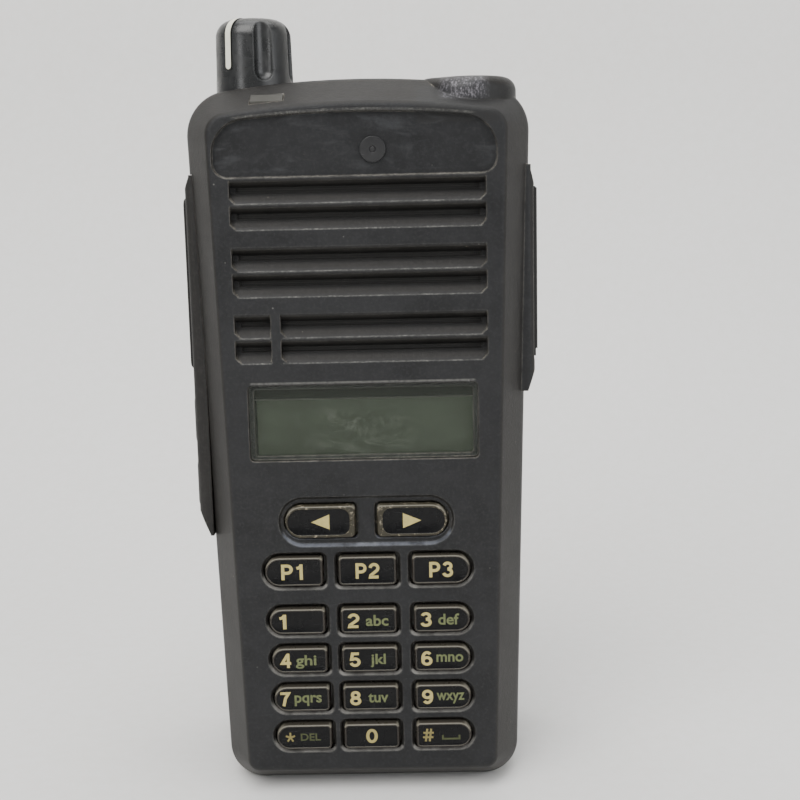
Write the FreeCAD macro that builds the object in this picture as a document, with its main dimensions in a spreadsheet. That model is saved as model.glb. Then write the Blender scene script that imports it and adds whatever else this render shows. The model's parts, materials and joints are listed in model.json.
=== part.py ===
"""Handheld two way radio with a keypad, as a parametric FreeCAD document.

Frame: +Z up, the front face looks along -Y, +X is to the right seen from the front.
The origin is at the bottom centre of the whole object. All lengths are millimetres.
"""

import FreeCAD
import Part

import math
import os
from types import SimpleNamespace

import Sketcher

# Driving dimensions: alias, value, what it is. "deep" lengths run back from the front face.
DIMENSIONS = [
    ("body_height", 130.1, "foot to the middle of the crown"),
    ("foot_half", 27.3, "half width at the foot"),
    ("crown_half", 30.4, "half width at the shoulders"),
    ("shoulder_height", 122.0, "height where the shoulders begin"),
    ("corner_height", 127.6, "height of the shoulder corners before rounding"),
    ("foot_radius", 6.5, "rounding of the bottom corners"),
    ("shoulder_radius", 8.0, "rounding of the shoulders"),
    ("crown_radius", 170.0, "arc of the crown"),
    ("body_depth", 24.0, "front shell, front face to battery"),
    ("head_depth", 34.0, "front shell above the battery"),
    ("head_bottom", 112.0, "underside of the head"),
    ("bevel_across", 4.6, "front bevel, seen from the front"),
    ("bevel_deep", 7.5, "front bevel, front to back"),
    ("battery_depth", 16.0, "battery pack, front to back"),
    ("clip_depth", 7.0, "belt clip behind the battery"),
    ("side_reach", 31.8, "half width over the talk button and the accessory cover"),
    ("wall", 2.0, "front wall of the shell"),
    ("shell", 1.8, "walls of the battery case"),
    ("gap", 0.25, "clearance round a moving or dropped-in part"),
    ("hair", 0.1, "clearance between parts that are fixed together"),
    ("cavity_floor", 7.2, "solid foot below the inside of the shell"),
    ("board_thick", 1.0, "circuit boards"),
    ("key_proud", 0.9, "keys stand this far out of the front face"),
    ("key_travel", 0.8, "keys press in by this much"),
    ("key_gap", 0.4, "clearance round the key caps"),
    ("key_flange", 0.8, "retaining flange round a key"),
    ("key_corner", 0.9, "small corner rounding of the keys"),
    ("key_column", 13.3, "spacing of the key columns"),
    ("number_wide", 10.2, "number keys, width"),
    ("number_tall", 4.8, "number keys, height"),
    ("number_pitch", 7.4, "spacing of the number rows"),
    ("number_low", 11.3, "height of the lowest number row"),
    ("number_start", 0.3, "left key of the upper number row, in from its column"),
    ("number_lean", 0.18, "further each left key stands in from the one above it"),
    ("menu_wide", 10.5, "programmable keys, width"),
    ("menu_tall", 5.4, "programmable keys, height"),
    ("menu_height", 42.85, "height of the programmable row"),
    ("arrow_wide", 12.6, "arrow keys, width"),
    ("arrow_tall", 5.9, "arrow keys, height"),
    ("arrow_height", 52.05, "height of the arrow row"),
    ("arrow_column", 8.25, "arrow keys, from the middle"),
    ("window_half", 20.4, "display window, half width"),
    ("window_low", 63.2, "display window, lower edge"),
    ("window_high", 76.8, "display window, upper edge"),
    ("louvre_half", 22.2, "speaker louvres, half width"),
    ("louvre_top", 112.5, "upper edge of the first louvre"),
    ("louvre_lip", 3.87, "lower lip of a louvre, below its top"),
    ("louvre_step", 4.5, "second louvre of a pair below the first"),
    ("louvre_pair", 11.7, "spacing of the louvre pairs"),
    ("louvre_deep", 1.5, "depth of a louvre at its upper edge"),
    ("speaker_height", 98.0, "speaker axis"),
    ("speaker_radius", 17.0, "speaker frame"),
    ("board_deep", 6.9, "front of the keypad board"),
    ("main_deep", 13.2, "front of the main board"),
    ("plate_deep", 21.6, "front of the chassis plate"),
    ("knob_radius", 7.0, "volume knob"),
    ("knob_tall", 13.6, "volume knob"),
    ("knob_base", 127.7, "underside of the volume knob"),
    ("knob_across", 18.7, "volume knob, left of the middle"),
    ("knob_deep", 15.0, "volume knob axis, back from the front face"),
    ("shaft_radius", 3.0, "volume shaft"),
    ("boss_radius", 8.3, "antenna boss"),
    ("boss_top", 129.9, "top of the antenna boss"),
    ("boss_across", 20.0, "antenna axis, right of the middle"),
    ("boss_deep", 10.5, "antenna axis, back from the front face"),
    ("thread_radius", 3.1, "antenna socket bore"),
    ("side_front", 6.5, "side controls and accessory port, front edge"),
    ("side_back", 20.5, "side controls and accessory port, back edge"),
    ("talk_travel", 1.0, "talk button and side keys press in by this much"),
    ("clip_axis", 99.0, "height of the belt clip pin"),
    ("clip_half", 8.5, "half width of the belt clip"),
    ("pin_radius", 1.2, "belt clip pin"),
]

# Normal of each view's sketches, and the origin plane that they lie on.
VIEWS = {"front": ("XZ_Plane", "front"), "side": ("YZ_Plane", "right"), "top": ("XY_Plane", "up")}
BOTH_WAYS = "both"

# The number keys from the bottom row up.
NUMBER_ROWS = [["star", "0", "hash"], ["7", "8", "9"], ["4", "5", "6"], ["1", "2", "3"]]
# Keys whose openings repeat the one at the foot of their column.
REPEATED_KEYS = ("key_8", "key_5", "key_2", "key_9", "key_6", "key_3")

document = FreeCAD.newDocument("TwoWayRadio")


class Size:
    """A length kept both as a number and as the spreadsheet formula that gives it."""

    def __init__(self, value, formula):
        self.value = float(value)
        self.formula = formula

    def __add__(self, other):
        other = as_size(other)
        return Size(self.value + other.value, f"({self.formula} + {other.formula})")

    def __sub__(self, other):
        other = as_size(other)
        return Size(self.value - other.value, f"({self.formula} - {other.formula})")

    def __mul__(self, other):
        other = as_size(other)
        return Size(self.value * other.value, f"({self.formula} * {other.formula})")

    def __truediv__(self, other):
        other = as_size(other)
        return Size(self.value / other.value, f"({self.formula} / {other.formula})")

    def __rsub__(self, other):
        return as_size(other) - self

    def __neg__(self):
        return Size(-self.value, f"(0 - {self.formula})")

    __radd__ = __add__
    __rmul__ = __mul__


def as_size(length):
    """A plain number as a Size; a Size as it is."""
    return length if isinstance(length, Size) else Size(length, f"({float(length)})")


def make_sheet():
    """Writes the driving dimensions to the spreadsheet and returns them by name."""
    sheet = document.addObject("Spreadsheet::Sheet", "Sizes")
    for row, (alias, value, meaning) in enumerate(DIMENSIONS, start=1):
        sheet.set(f"A{row}", meaning)
        sheet.set(f"B{row}", str(value))
        sheet.setAlias(f"B{row}", alias)
    document.recompute()
    return SimpleNamespace(**{a: Size(v, f"Sizes.{a}") for a, v, _ in DIMENSIONS})


size = make_sheet()
FRONT = (size.key_proud - size.body_depth - size.battery_depth - size.clip_depth) / 2


def deep(length):
    """The y of a place this far back from the front face."""
    return FRONT + length


COVER_AXIS = (30.0, deep(19.2))
KNOB_AXIS = (-size.knob_across, deep(size.knob_deep))
ANTENNA_AXIS = (size.boss_across, deep(size.boss_deep))
CLIP_DEEP = 43.4
MARK_DIRECTION = 236
CROWN_CORNER = 1.35
RIB = (-15.9, -14.1)
LIP_CORNER = 1.1


def half_width(height, inset=0):
    """Half the width of the tapering body at a height, less an inset."""
    widening = (size.crown_half - size.foot_half) / size.shoulder_height
    return size.foot_half + widening * height - inset


def drive(thing, name, length):
    """Sets a property or constraint of a thing from the sheet."""
    thing.setExpression(name, as_size(length).formula)


# ---------------------------------------------------------------- sketches and features


def new_body(label):
    """An empty PartDesign body."""
    body = document.addObject("PartDesign::Body", label)
    body.Label = label
    return body


def sketch(body, view, at, origin=(0, 0)):
    """An empty sketch on a plane parallel to one of the body's origin planes, with its own origin."""
    plane, normal = VIEWS[view]
    drawn = body.newObject("Sketcher::SketchObject", f"{body.Label}_{view}")
    datum = [f for f in body.Origin.OriginFeatures if f.Role == plane][0]
    drawn.AttachmentSupport = [(datum, "")]
    drawn.MapMode = "FlatFace"
    drive(drawn, "AttachmentOffset.Base.x", origin[0])
    drive(drawn, "AttachmentOffset.Base.y", origin[1])
    drive(drawn, "AttachmentOffset.Base.z", -at if view == "front" else at)
    return drawn


def place_point(drawn, rules, geometry, vertex, across, up):
    """Holds one point of a sketch at its two coordinates."""
    for axis, rule, length in ((-2, "DistanceX", as_size(across)), (-1, "DistanceY", as_size(up))):
        if length.value == 0:
            drawn.addConstraint(Sketcher.Constraint("PointOnObject", geometry, vertex, axis))
        else:
            index = drawn.addConstraint(Sketcher.Constraint(rule, geometry, vertex, length.value))
            rules.append((index, length))


def outline(drawn, corners):
    """Draws a closed outline, counter-clockwise, from (across, up) or (across, up, rounding) corners."""
    rules = []
    corners = [tuple(map(as_size, c)) for c in corners]
    spots = [FreeCAD.Vector(c[0].value, c[1].value, 0) for c in corners]
    count = len(corners)
    starts, ends, middles = [], [], []
    for i, spot in enumerate(spots):
        before = (spots[i - 1] - spot).normalize()
        after = (spots[(i + 1) % count] - spot).normalize()
        rounding = corners[i][2].value if len(corners[i]) > 2 else 0.0
        half = before.getAngle(after) / 2
        cut = rounding / math.tan(half)
        starts.append(spot + before * cut)
        ends.append(spot + after * cut)
        inward = (before + after).normalize() if rounding else before
        middles.append(spot + inward * (rounding / math.sin(half) - rounding))
    sides = [
        drawn.addGeometry(Part.LineSegment(ends[i], starts[(i + 1) % count]), False)
        for i in range(count)
    ]
    for i, corner in enumerate(corners):
        last, following = sides[i - 1], sides[i]
        if len(corner) < 3:
            drawn.addConstraint(Sketcher.Constraint("Coincident", last, 2, following, 1))
            place_point(drawn, rules, following, 1, corner[0], corner[1])
            continue
        arc = drawn.addGeometry(Part.Arc(starts[i], middles[i], ends[i]), False)
        turn = (starts[i] - spots[i]).cross(ends[i] - spots[i]).z
        first, second = (1, 2) if turn < 0 else (2, 1)
        drawn.addConstraint(Sketcher.Constraint("Tangent", last, 2, arc, first))
        drawn.addConstraint(Sketcher.Constraint("Tangent", arc, second, following, 1))
        index = drawn.addConstraint(Sketcher.Constraint("Radius", arc, corner[2].value))
        rules.append((index, corner[2]))
        peak = drawn.addGeometry(Part.Point(spots[i]), True)
        drawn.addConstraint(Sketcher.Constraint("PointOnObject", peak, 1, last))
        drawn.addConstraint(Sketcher.Constraint("PointOnObject", peak, 1, following))
        place_point(drawn, rules, peak, 1, corner[0], corner[1])
    for index, length in rules:
        drive(drawn, f"Constraints[{index}]", length)


def rectangle(drawn, left, low, right, high, rounding=None):
    """Draws a rectangle, with all its corners rounded if asked."""
    extra = () if rounding is None else (rounding,)
    places = [(left, low), (right, low), (right, high), (left, high)]
    outline(drawn, [place + extra for place in places])


def circle(drawn, across, up, radius):
    """Draws a circle."""
    rules = []
    middle = FreeCAD.Vector(as_size(across).value, as_size(up).value, 0)
    ring = Part.Circle(middle, FreeCAD.Vector(0, 0, 1), as_size(radius).value)
    geometry = drawn.addGeometry(ring, False)
    place_point(drawn, rules, geometry, 3, across, up)
    index = drawn.addConstraint(Sketcher.Constraint("Radius", geometry, as_size(radius).value))
    rules.append((index, as_size(radius)))
    for index, length in rules:
        drive(drawn, f"Constraints[{index}]", length)


def extrude(kind, drawn, length, toward):
    """A Pad or Pocket of a sketch along the view's direction; toward may be both."""
    body = drawn.getParentGeoFeatureGroup()
    normal = [n for p, n in VIEWS.values() if drawn.AttachmentSupport[0][0].Role == p][0]
    feature = body.newObject(f"PartDesign::{kind}", f"{body.Label}_{kind}")
    feature.Profile = drawn
    if toward == BOTH_WAYS:
        feature.SideType = "Symmetric"
    else:
        feature.Reversed = (toward != normal) if kind == "Pad" else (toward == normal)
    drive(feature, "Length", length)
    drawn.Visibility = False
    return feature


def pad(drawn, length, toward):
    """Adds a sketch's outline as solid."""
    return extrude("Pad", drawn, length, toward)


def pocket(drawn, length, toward):
    """Cuts a sketch's outline out of the body, and checks that it did cut."""
    body = drawn.getParentGeoFeatureGroup()
    document.recompute()
    before = body.Shape.Volume
    feature = extrude("Pocket", drawn, length, toward)
    document.recompute()
    if body.Shape.Volume > before - 1e-6:
        raise RuntimeError(f"a pocket of {body.Label} cut nothing")
    return feature


def revolve(drawn, axis, kind="Revolution"):
    """Turns a sketch a full circle about its own H_Axis or V_Axis."""
    body = drawn.getParentGeoFeatureGroup()
    feature = body.newObject(f"PartDesign::{kind}", f"{body.Label}_{kind}")
    feature.Profile = drawn
    feature.ReferenceAxis = (drawn, [axis])
    feature.Angle = 360
    return feature


def axis_of(body, role):
    """One of a body's own origin axes."""
    return [f for f in body.Origin.OriginFeatures if f.Role == role][0]


def repeat(feature, drawn, axis, pitch, count):
    """Repeats a feature along an axis of its sketch at an even pitch."""
    body = feature.getParentGeoFeatureGroup()
    pattern = body.newObject("PartDesign::LinearPattern", f"{body.Label}_LinearPattern")
    pattern.Originals = [feature]
    pattern.Direction = (drawn, [axis])
    pattern.Occurrences = count
    pattern.Reversed = pitch.value < 0
    drive(pattern, "Length", (-pitch if pitch.value < 0 else pitch) * (count - 1))
    body.Tip = pattern
    document.recompute()


def edges_where(body, test):
    """The tip feature and the names of its edges whose bounding box passes the test."""
    document.recompute()
    named = enumerate(body.Tip.Shape.Edges, start=1)
    return (body.Tip, [f"Edge{i}" for i, edge in named if test(edge.BoundBox)])


def round_edges(body, radius, test):
    """Fillets the edges whose bounding box passes the test."""
    feature_edges = edges_where(body, test)
    fillet = body.newObject("PartDesign::Fillet", f"{body.Label}_Fillet")
    fillet.Base = feature_edges
    drive(fillet, "Radius", radius)
    return fillet


def bevel_edges(body, width, test):
    """Chamfers the edges whose bounding box passes the test."""
    feature_edges = edges_where(body, test)
    chamfer = body.newObject("PartDesign::Chamfer", f"{body.Label}_Chamfer")
    chamfer.Base = feature_edges
    drive(chamfer, "Size", width)
    return chamfer


def flat_at(axis, place):
    """A test for edges that lie in the plane where an axis has this value."""
    value = as_size(place).value

    def lies_there(box):
        low, high = getattr(box, f"{axis}Min"), getattr(box, f"{axis}Max")
        return abs(low - value) < 0.01 and abs(high - value) < 0.01

    return lies_there


def shift(body, across=0, y=0, up=0):
    """Places a body that was drawn about its own origin."""
    drive(body, "Placement.Base.x", across)
    drive(body, "Placement.Base.y", y)
    drive(body, "Placement.Base.z", up)


def block(label, view, corners, at, length, toward):
    """A body that is one outline, padded."""
    body = new_body(label)
    drawn = sketch(body, view, at)
    outline(drawn, corners)
    pad(drawn, length, toward)
    return body


def turned(label, points, centre):
    """A body turned about a vertical axis at (x, y); points are (radius, height)."""
    body = new_body(label)
    drawn = sketch(body, "front", centre[1], origin=(centre[0], 0))
    outline(drawn, points)
    revolve(drawn, "V_Axis")
    return body


def facing(label, points, across, height):
    """A body turned about an axis that runs front to back; points are (y, radius)."""
    body = new_body(label)
    drawn = sketch(body, "side", across, origin=(0, height))
    outline(drawn, points)
    revolve(drawn, "H_Axis")
    return body


def feature_group(label, shapes):
    """Several like solids that share one node."""
    group = document.addObject("Part::Feature", label)
    group.Label = label
    group.Shape = Part.makeCompound(shapes)
    return group


def solid_box(left, right, front, back, low, high):
    """A plain box between six planes."""
    ends = [as_size(v).value for v in (left, right, front, back, low, high)]
    corner = FreeCAD.Vector(ends[0], ends[2], ends[4])
    return Part.makeBox(ends[1] - ends[0], ends[3] - ends[2], ends[5] - ends[4], corner)


# ---------------------------------------------------------------- the front shell


def body_corners(inset, low, high):
    """The tapering body's outline between two heights, moved in by an inset, with square upper corners."""
    rounding = size.foot_radius - 0.5 * as_size(inset)
    return [
        (-half_width(low, inset), low, rounding),
        (half_width(low, inset), low, rounding),
        (half_width(high, inset), high, 2),
        (-half_width(high, inset), high, 2),
    ]


def shoulder_corners():
    """The rounded shoulders and the arched crown, right to left."""
    edge = half_width(size.corner_height)
    return [
        (edge, size.corner_height, size.shoulder_radius),
        (0, size.body_height + CROWN_CORNER, size.crown_radius),
        (-edge, size.corner_height, size.shoulder_radius),
    ]


def key_shape(wide, tall, side):
    """A key's outline about its centre: side -1 rounds its left end, 1 its right end, 0 neither."""
    full = 0.49 * tall
    left = full if side < 0 else size.key_corner
    right = full if side > 0 else size.key_corner
    return [
        (-wide / 2, -tall / 2, left),
        (wide / 2, -tall / 2, right),
        (wide / 2, tall / 2, right),
        (-wide / 2, tall / 2, left),
    ]


def moved(corners, across, up):
    """An outline moved by a distance across and up."""
    return [(c[0] + across, c[1] + up) + tuple(c[2:]) for c in corners]


def key_places():
    """Every key: name, side that is rounded, width, height, place across and up."""
    keys = [
        ("key_left", -1, size.arrow_wide, size.arrow_tall, -size.arrow_column, size.arrow_height),
        ("key_right", 1, size.arrow_wide, size.arrow_tall, size.arrow_column, size.arrow_height),
    ]
    for side in (-1, 0, 1):
        across = side * size.key_column
        keys.append(
            (f"key_p{side + 2}", side, size.menu_wide, size.menu_tall, across, size.menu_height)
        )
    for row, names in enumerate(NUMBER_ROWS):
        for side, name in enumerate(names, start=-1):
            up = size.number_low + row * size.number_pitch
            across = side * size.key_column
            if side < 0:
                rows_down = len(NUMBER_ROWS) - 1 - row
                across = across + size.number_start + rows_down * size.number_lean
            keys.append((f"key_{name}", side, size.number_wide, size.number_tall, across, up))
    return keys


def shell_blank(body):
    """The shell's outside: body, deeper head and the bevelled front."""
    foot = [
        (-size.foot_half, 0, size.foot_radius),
        (size.foot_half, 0, size.foot_radius),
    ]
    drawn = sketch(body, "front", deep(size.bevel_deep))
    outline(drawn, foot + shoulder_corners())
    pad(drawn, size.body_depth - size.bevel_deep, "back")
    drawn = sketch(body, "front", deep(size.body_depth - 2))
    low = [
        (-half_width(size.head_bottom), size.head_bottom),
        (half_width(size.head_bottom), size.head_bottom),
    ]
    outline(drawn, low + shoulder_corners())
    pad(drawn, size.head_depth - size.body_depth + 2, "back")
    drawn = sketch(body, "front", deep(size.bevel_deep))
    outline(drawn, foot + shoulder_corners())
    bevel = pad(drawn, size.bevel_deep, "front")
    slope = f"atan({size.bevel_across.formula} / {size.bevel_deep.formula})"
    bevel.setExpression("TaperAngle", f"0 deg - {slope}")
    round_edges(body, 3, flat_at("Y", deep(size.bevel_deep)))
    round_edges(body, 1.2, flat_at("Y", FRONT))
    round_edges(body, 3, flat_at("Y", deep(size.head_depth)))


def shell_boss(body):
    """The antenna boss on the right shoulder and the flat seat under the knob on the left."""
    drawn = sketch(body, "top", 120, origin=ANTENNA_AXIS)
    circle(drawn, 0, 0, size.boss_radius)
    pad(drawn, size.boss_top - 120, "up")
    round_edges(body, 2.4, flat_at("Z", size.boss_top))
    drawn = sketch(body, "top", size.boss_top, origin=ANTENNA_AXIS)
    circle(drawn, 0, 0, 5.8)
    pocket(drawn, 2.1, "down")
    drawn = sketch(body, "top", 132, origin=KNOB_AXIS)
    circle(drawn, 0, 0, size.knob_radius + 0.6)
    pocket(drawn, 132 - (size.knob_base - 0.3), "down")


def shell_pedestal(body):
    """The raised pedestal of the accessory port on the right, with a ramp at each end."""
    reach = size.side_reach - 0.6
    drawn = sketch(body, "top", 74)
    front, back = deep(size.side_front), deep(size.side_back)
    outline(drawn, [(26, front), (reach, front, 1.6), (reach, back, 1.6), (26, back)])
    pad(drawn, 114.6 - 74, "up")
    drawn = sketch(body, "front", 0)
    outline(drawn, [(29.5, 73), (34, 73), (34, 77.8), (reach, 77.8)])
    outline(drawn, [(reach, 111.2), (34, 111.2), (34, 116), (30.55, 116), (30.55, 113.6)])
    pocket(drawn, 60, BOTH_WAYS)


def shell_inside(body):
    """The hollow inside: narrow behind the bevel, wider further back, with a ledge for the seal."""
    steps = [
        (5.4, size.wall, 8, 123.4),
        (4.2, 7.9, 20, 110.0),
        (2.2, 19.9, size.body_depth, 110.0),
    ]
    for inset, front, back, high in steps:
        drawn = sketch(body, "front", deep(front))
        outline(drawn, body_corners(inset, size.cavity_floor, high))
        pocket(drawn, as_size(back) - front, "back")
    drawn = sketch(body, "side", 0)
    head_floor = size.head_bottom + 3
    outline(
        drawn,
        [
            (deep(7.5), 105),
            (deep(21.5), 105),
            (deep(21.5), head_floor),
            (deep(size.head_depth - 2.6), head_floor, 1.5),
            (deep(size.head_depth - 2.6), 124.2, 1.5),
            (deep(7.5), 124.2),
        ],
    )
    pocket(drawn, 51, BOTH_WAYS)


def shell_grille(body):
    """The recessed panel, the six speaker louvres and the slots behind them."""
    drawn = sketch(body, "front", FRONT)
    left, right = -25.0, 24.2
    outline(
        drawn,
        [
            (left, 113.2, 2.6),
            (right, 113.2, 2.6),
            (right, 122.7, 6),
            (0, 124.9, 200),
            (left, 122.7, 6),
        ],
    )
    pocket(drawn, 0.8, "back")
    pair_tops = (size.louvre_top, size.louvre_top - size.louvre_step)
    drawn = sketch(body, "side", 0)
    for top in pair_tops:
        profile = [
            (-0.02, 0.49),
            (-0.02, -3.89),
            (0.25, -3.4),
            (size.louvre_deep, -1.85, 0.3),
            (size.louvre_deep, -0.95, 0.3),
            (0.25, 0),
        ]
        outline(drawn, [(deep(p[0]), top + p[1]) + p[2:] for p in profile])
    cut = pocket(drawn, 2 * size.louvre_half, BOTH_WAYS)
    repeat(cut, drawn, "V_Axis", -size.louvre_pair, 3)
    drawn = sketch(body, "front", FRONT)
    for top in pair_tops:
        rectangle(drawn, -size.louvre_half + 1, top - 1.8, size.louvre_half - 1, top - 1)
    cut = pocket(drawn, 4, "back")
    repeat(cut, drawn, "V_Axis", -size.louvre_pair, 3)
    drawn = sketch(body, "front", FRONT)
    half = size.louvre_half
    for top in pair_tops:
        lip = top - size.louvre_lip
        outline(drawn, [(-half, lip), (-half + LIP_CORNER, lip), (-half, lip + LIP_CORNER)])
        outline(drawn, [(half, lip), (half, lip + LIP_CORNER), (half - LIP_CORNER, lip)])
    corners = pad(drawn, size.louvre_deep, "back")
    repeat(corners, drawn, "V_Axis", -size.louvre_pair, 3)
    last_top = size.louvre_top - 2 * size.louvre_pair
    last_lip = last_top - size.louvre_step - size.louvre_lip
    drawn = sketch(body, "front", FRONT)
    rectangle(drawn, RIB[0], last_lip, RIB[1], last_top + 0.45)
    pad(drawn, size.wall, "back")
    drawn = sketch(body, "front", FRONT)
    for lip in (last_lip + size.louvre_step, last_lip):
        outline(drawn, [(RIB[1], lip), (RIB[1] + LIP_CORNER, lip), (RIB[1], lip + LIP_CORNER)])
    pad(drawn, size.louvre_deep, "back")


def shell_openings(body):
    """The display window, the key openings and the recess round the arrow keys."""
    drawn = sketch(body, "front", FRONT)
    rectangle(
        drawn, -size.window_half, size.window_low, size.window_half, size.window_high, 0.8
    )
    pocket(drawn, 1.4, "back")
    drawn = sketch(body, "front", FRONT)
    rectangle(
        drawn,
        -size.window_half + 0.9,
        size.window_low + 0.7,
        size.window_half - 0.9,
        size.window_high - 0.9,
        0.5,
    )
    pocket(drawn, 4, "back")
    drawn = sketch(body, "front", FRONT)
    half = size.arrow_column + size.arrow_wide / 2 + 0.9
    low, high = size.arrow_height - 4.3, size.arrow_height + 4.1
    rectangle(drawn, -half, low, half, high, 4.1)
    pocket(drawn, 0.45, "back")
    for name, side, wide, tall, across, up in key_places():
        if name in REPEATED_KEYS:
            continue
        drawn = sketch(body, "front", FRONT, origin=(across, up))
        outline(drawn, key_shape(wide + 2 * size.key_gap, tall + 2 * size.key_gap, side))
        cut = pocket(drawn, 4, "back")
        if name in ("key_0", "key_hash"):
            repeat(cut, drawn, "V_Axis", size.number_pitch, len(NUMBER_ROWS))

    def key_rims(box):
        flat = flat_at("Y", FRONT)(box)
        return flat and box.ZMax < 58 and abs(box.XMin) < 19.8 and abs(box.XMax) < 19.8

    bevel_edges(body, 0.4, key_rims)


def shell_sides(body):
    """The talk button's opening on the left, the accessory port on the right, latch, light and tabs."""
    drawn = sketch(body, "side", -33)
    rectangle(drawn, deep(size.side_front - 0.1), 47.9, deep(size.side_back + 0.1), 114.1, 0.3)
    pocket(drawn, 33 - 28.5, "right")
    drawn = sketch(body, "side", -33)
    rectangle(drawn, deep(size.side_front + 1.4), 50.5, deep(size.side_back - 1.4), 111.5, 1.5)
    pocket(drawn, 33 - 22, "right")
    drawn = sketch(body, "side", 33)
    rectangle(drawn, deep(size.side_front + 1.0), 79.5, deep(size.side_back + 1), 111.0, 0.7)
    pocket(drawn, 33 - 28.4, "left")
    drawn = sketch(body, "side", 33)
    rectangle(drawn, deep(9.4), 84.9, deep(17.6), 107.1, 0.8)
    pocket(drawn, 33 - 22, "left")
    drawn = sketch(body, "top", 112.9, origin=COVER_AXIS)
    circle(drawn, 0, 0, 0.65)
    pocket(drawn, 112.9 - 78, "down")
    drawn = sketch(body, "front", deep(size.body_depth))
    rectangle(drawn, -9.4, -1, 9.4, 5)
    pocket(drawn, 10.5, "front")
    drawn = sketch(body, "side", -15.4)
    outline(drawn, light_corners(0.08))
    pocket(drawn, 5.8, BOTH_WAYS)
    for across in (-12, 12):
        drawn = sketch(body, "front", deep(size.head_depth + 1))
        rectangle(drawn, across - 3.4, 111, across + 3.4, size.head_bottom + 1.6)
        pocket(drawn, 10.3, "front")
    for axis, radius in ((KNOB_AXIS, 4.05), (ANTENNA_AXIS, 4.5)):
        drawn = sketch(body, "top", 132, origin=axis)
        circle(drawn, 0, 0, radius)
        pocket(drawn, 10, "down")


def light_corners(extra):
    """Side outline of the status light in the bevel, enlarged by a clearance."""
    return [
        (deep(2.0 - extra), 122.6 - extra),
        (deep(4.0 + extra), 122.6 - extra),
        (deep(4.0 + extra), 127.42 + 4 * extra),
        (deep(2.0 - extra), 126.2 + 4 * extra),
    ]


def front_housing():
    """The front shell of the radio."""
    body = new_body("front_housing")
    shell_blank(body)
    shell_boss(body)
    shell_pedestal(body)
    shell_inside(body)
    shell_sides(body)
    shell_grille(body)
    shell_openings(body)


# ---------------------------------------------------------------- front panel parts


def display():
    """The clear lens, the display glass and the holder that clips it to the keypad board."""
    lens = new_body("display_lens")
    drawn = sketch(lens, "front", deep(0.25))
    edge = size.window_half - size.hair
    rectangle(
        drawn, -edge, size.window_low + size.hair, edge, size.window_high - size.hair, 0.7
    )
    pad(drawn, 1.1, "back")
    panel = [(-21.6, 60.4), (21.6, 60.4), (21.6, 78.2), (-21.6, 78.2)]
    block("lcd_panel", "front", panel, deep(2.15), 1.9, "back")
    holder = new_body("lcd_holder")
    drawn = sketch(holder, "front", deep(2.2))
    rectangle(drawn, -22.8, 59, 22.8, 79.8, 1)
    pad(drawn, size.board_deep - 2.25, "back")
    drawn = sketch(holder, "front", deep(2.2))
    rectangle(drawn, -21.7, 60.3, 21.7, 78.3)
    pocket(drawn, 2.0, "back")


def speaker():
    """The dust cloth, the speaker's frame with its magnet, the cone and the microphone in its boot."""
    cloth = new_body("speaker_cloth")
    drawn = sketch(cloth, "front", deep(2.1))
    rectangle(drawn, -21.6, 80.3, 21.6, 113.4, 2)
    pad(drawn, 0.3, "back")
    radius = size.speaker_radius
    facing(
        "speaker_frame",
        [
            (deep(2.5), radius - 1.8),
            (deep(3.9), radius - 1.8),
            (deep(3.9), radius - 2.6),
            (deep(8.2), 8.4),
            (deep(8.2), 0),
            (deep(12.4), 0),
            (deep(12.4), 9),
            (deep(7.6), 9.6),
            (deep(4.9), radius, 0.6),
            (deep(2.5), radius),
        ],
        0,
        size.speaker_height,
    )
    facing(
        "speaker_cone",
        [
            (deep(2.7), radius - 2.0),
            (deep(2.7), radius - 3.6, 0.4),
            (deep(6.4), 6, 0.4),
            (deep(5.2), 0),
            (deep(5.7), 0),
            (deep(7.0), 6, 0.5),
            (deep(3.2), radius - 3.2, 0.4),
            (deep(3.2), radius - 2.0),
        ],
        0,
        size.speaker_height,
    )
    inner = [(deep(2.4), 0), (deep(5.2), 0), (deep(5.2), 3), (deep(2.4), 3)]
    across, height = -18.4, 84.2
    facing("microphone", inner[::-1], across, height)
    boot = [(deep(2.4), 3.1), (deep(5.3), 3.1), (deep(5.3), 0), (deep(6.2), 0)]
    boot += [(deep(6.2), 3.7), (deep(2.4), 3.7)]
    facing("microphone_boot", boot[::-1], across, height)


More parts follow.
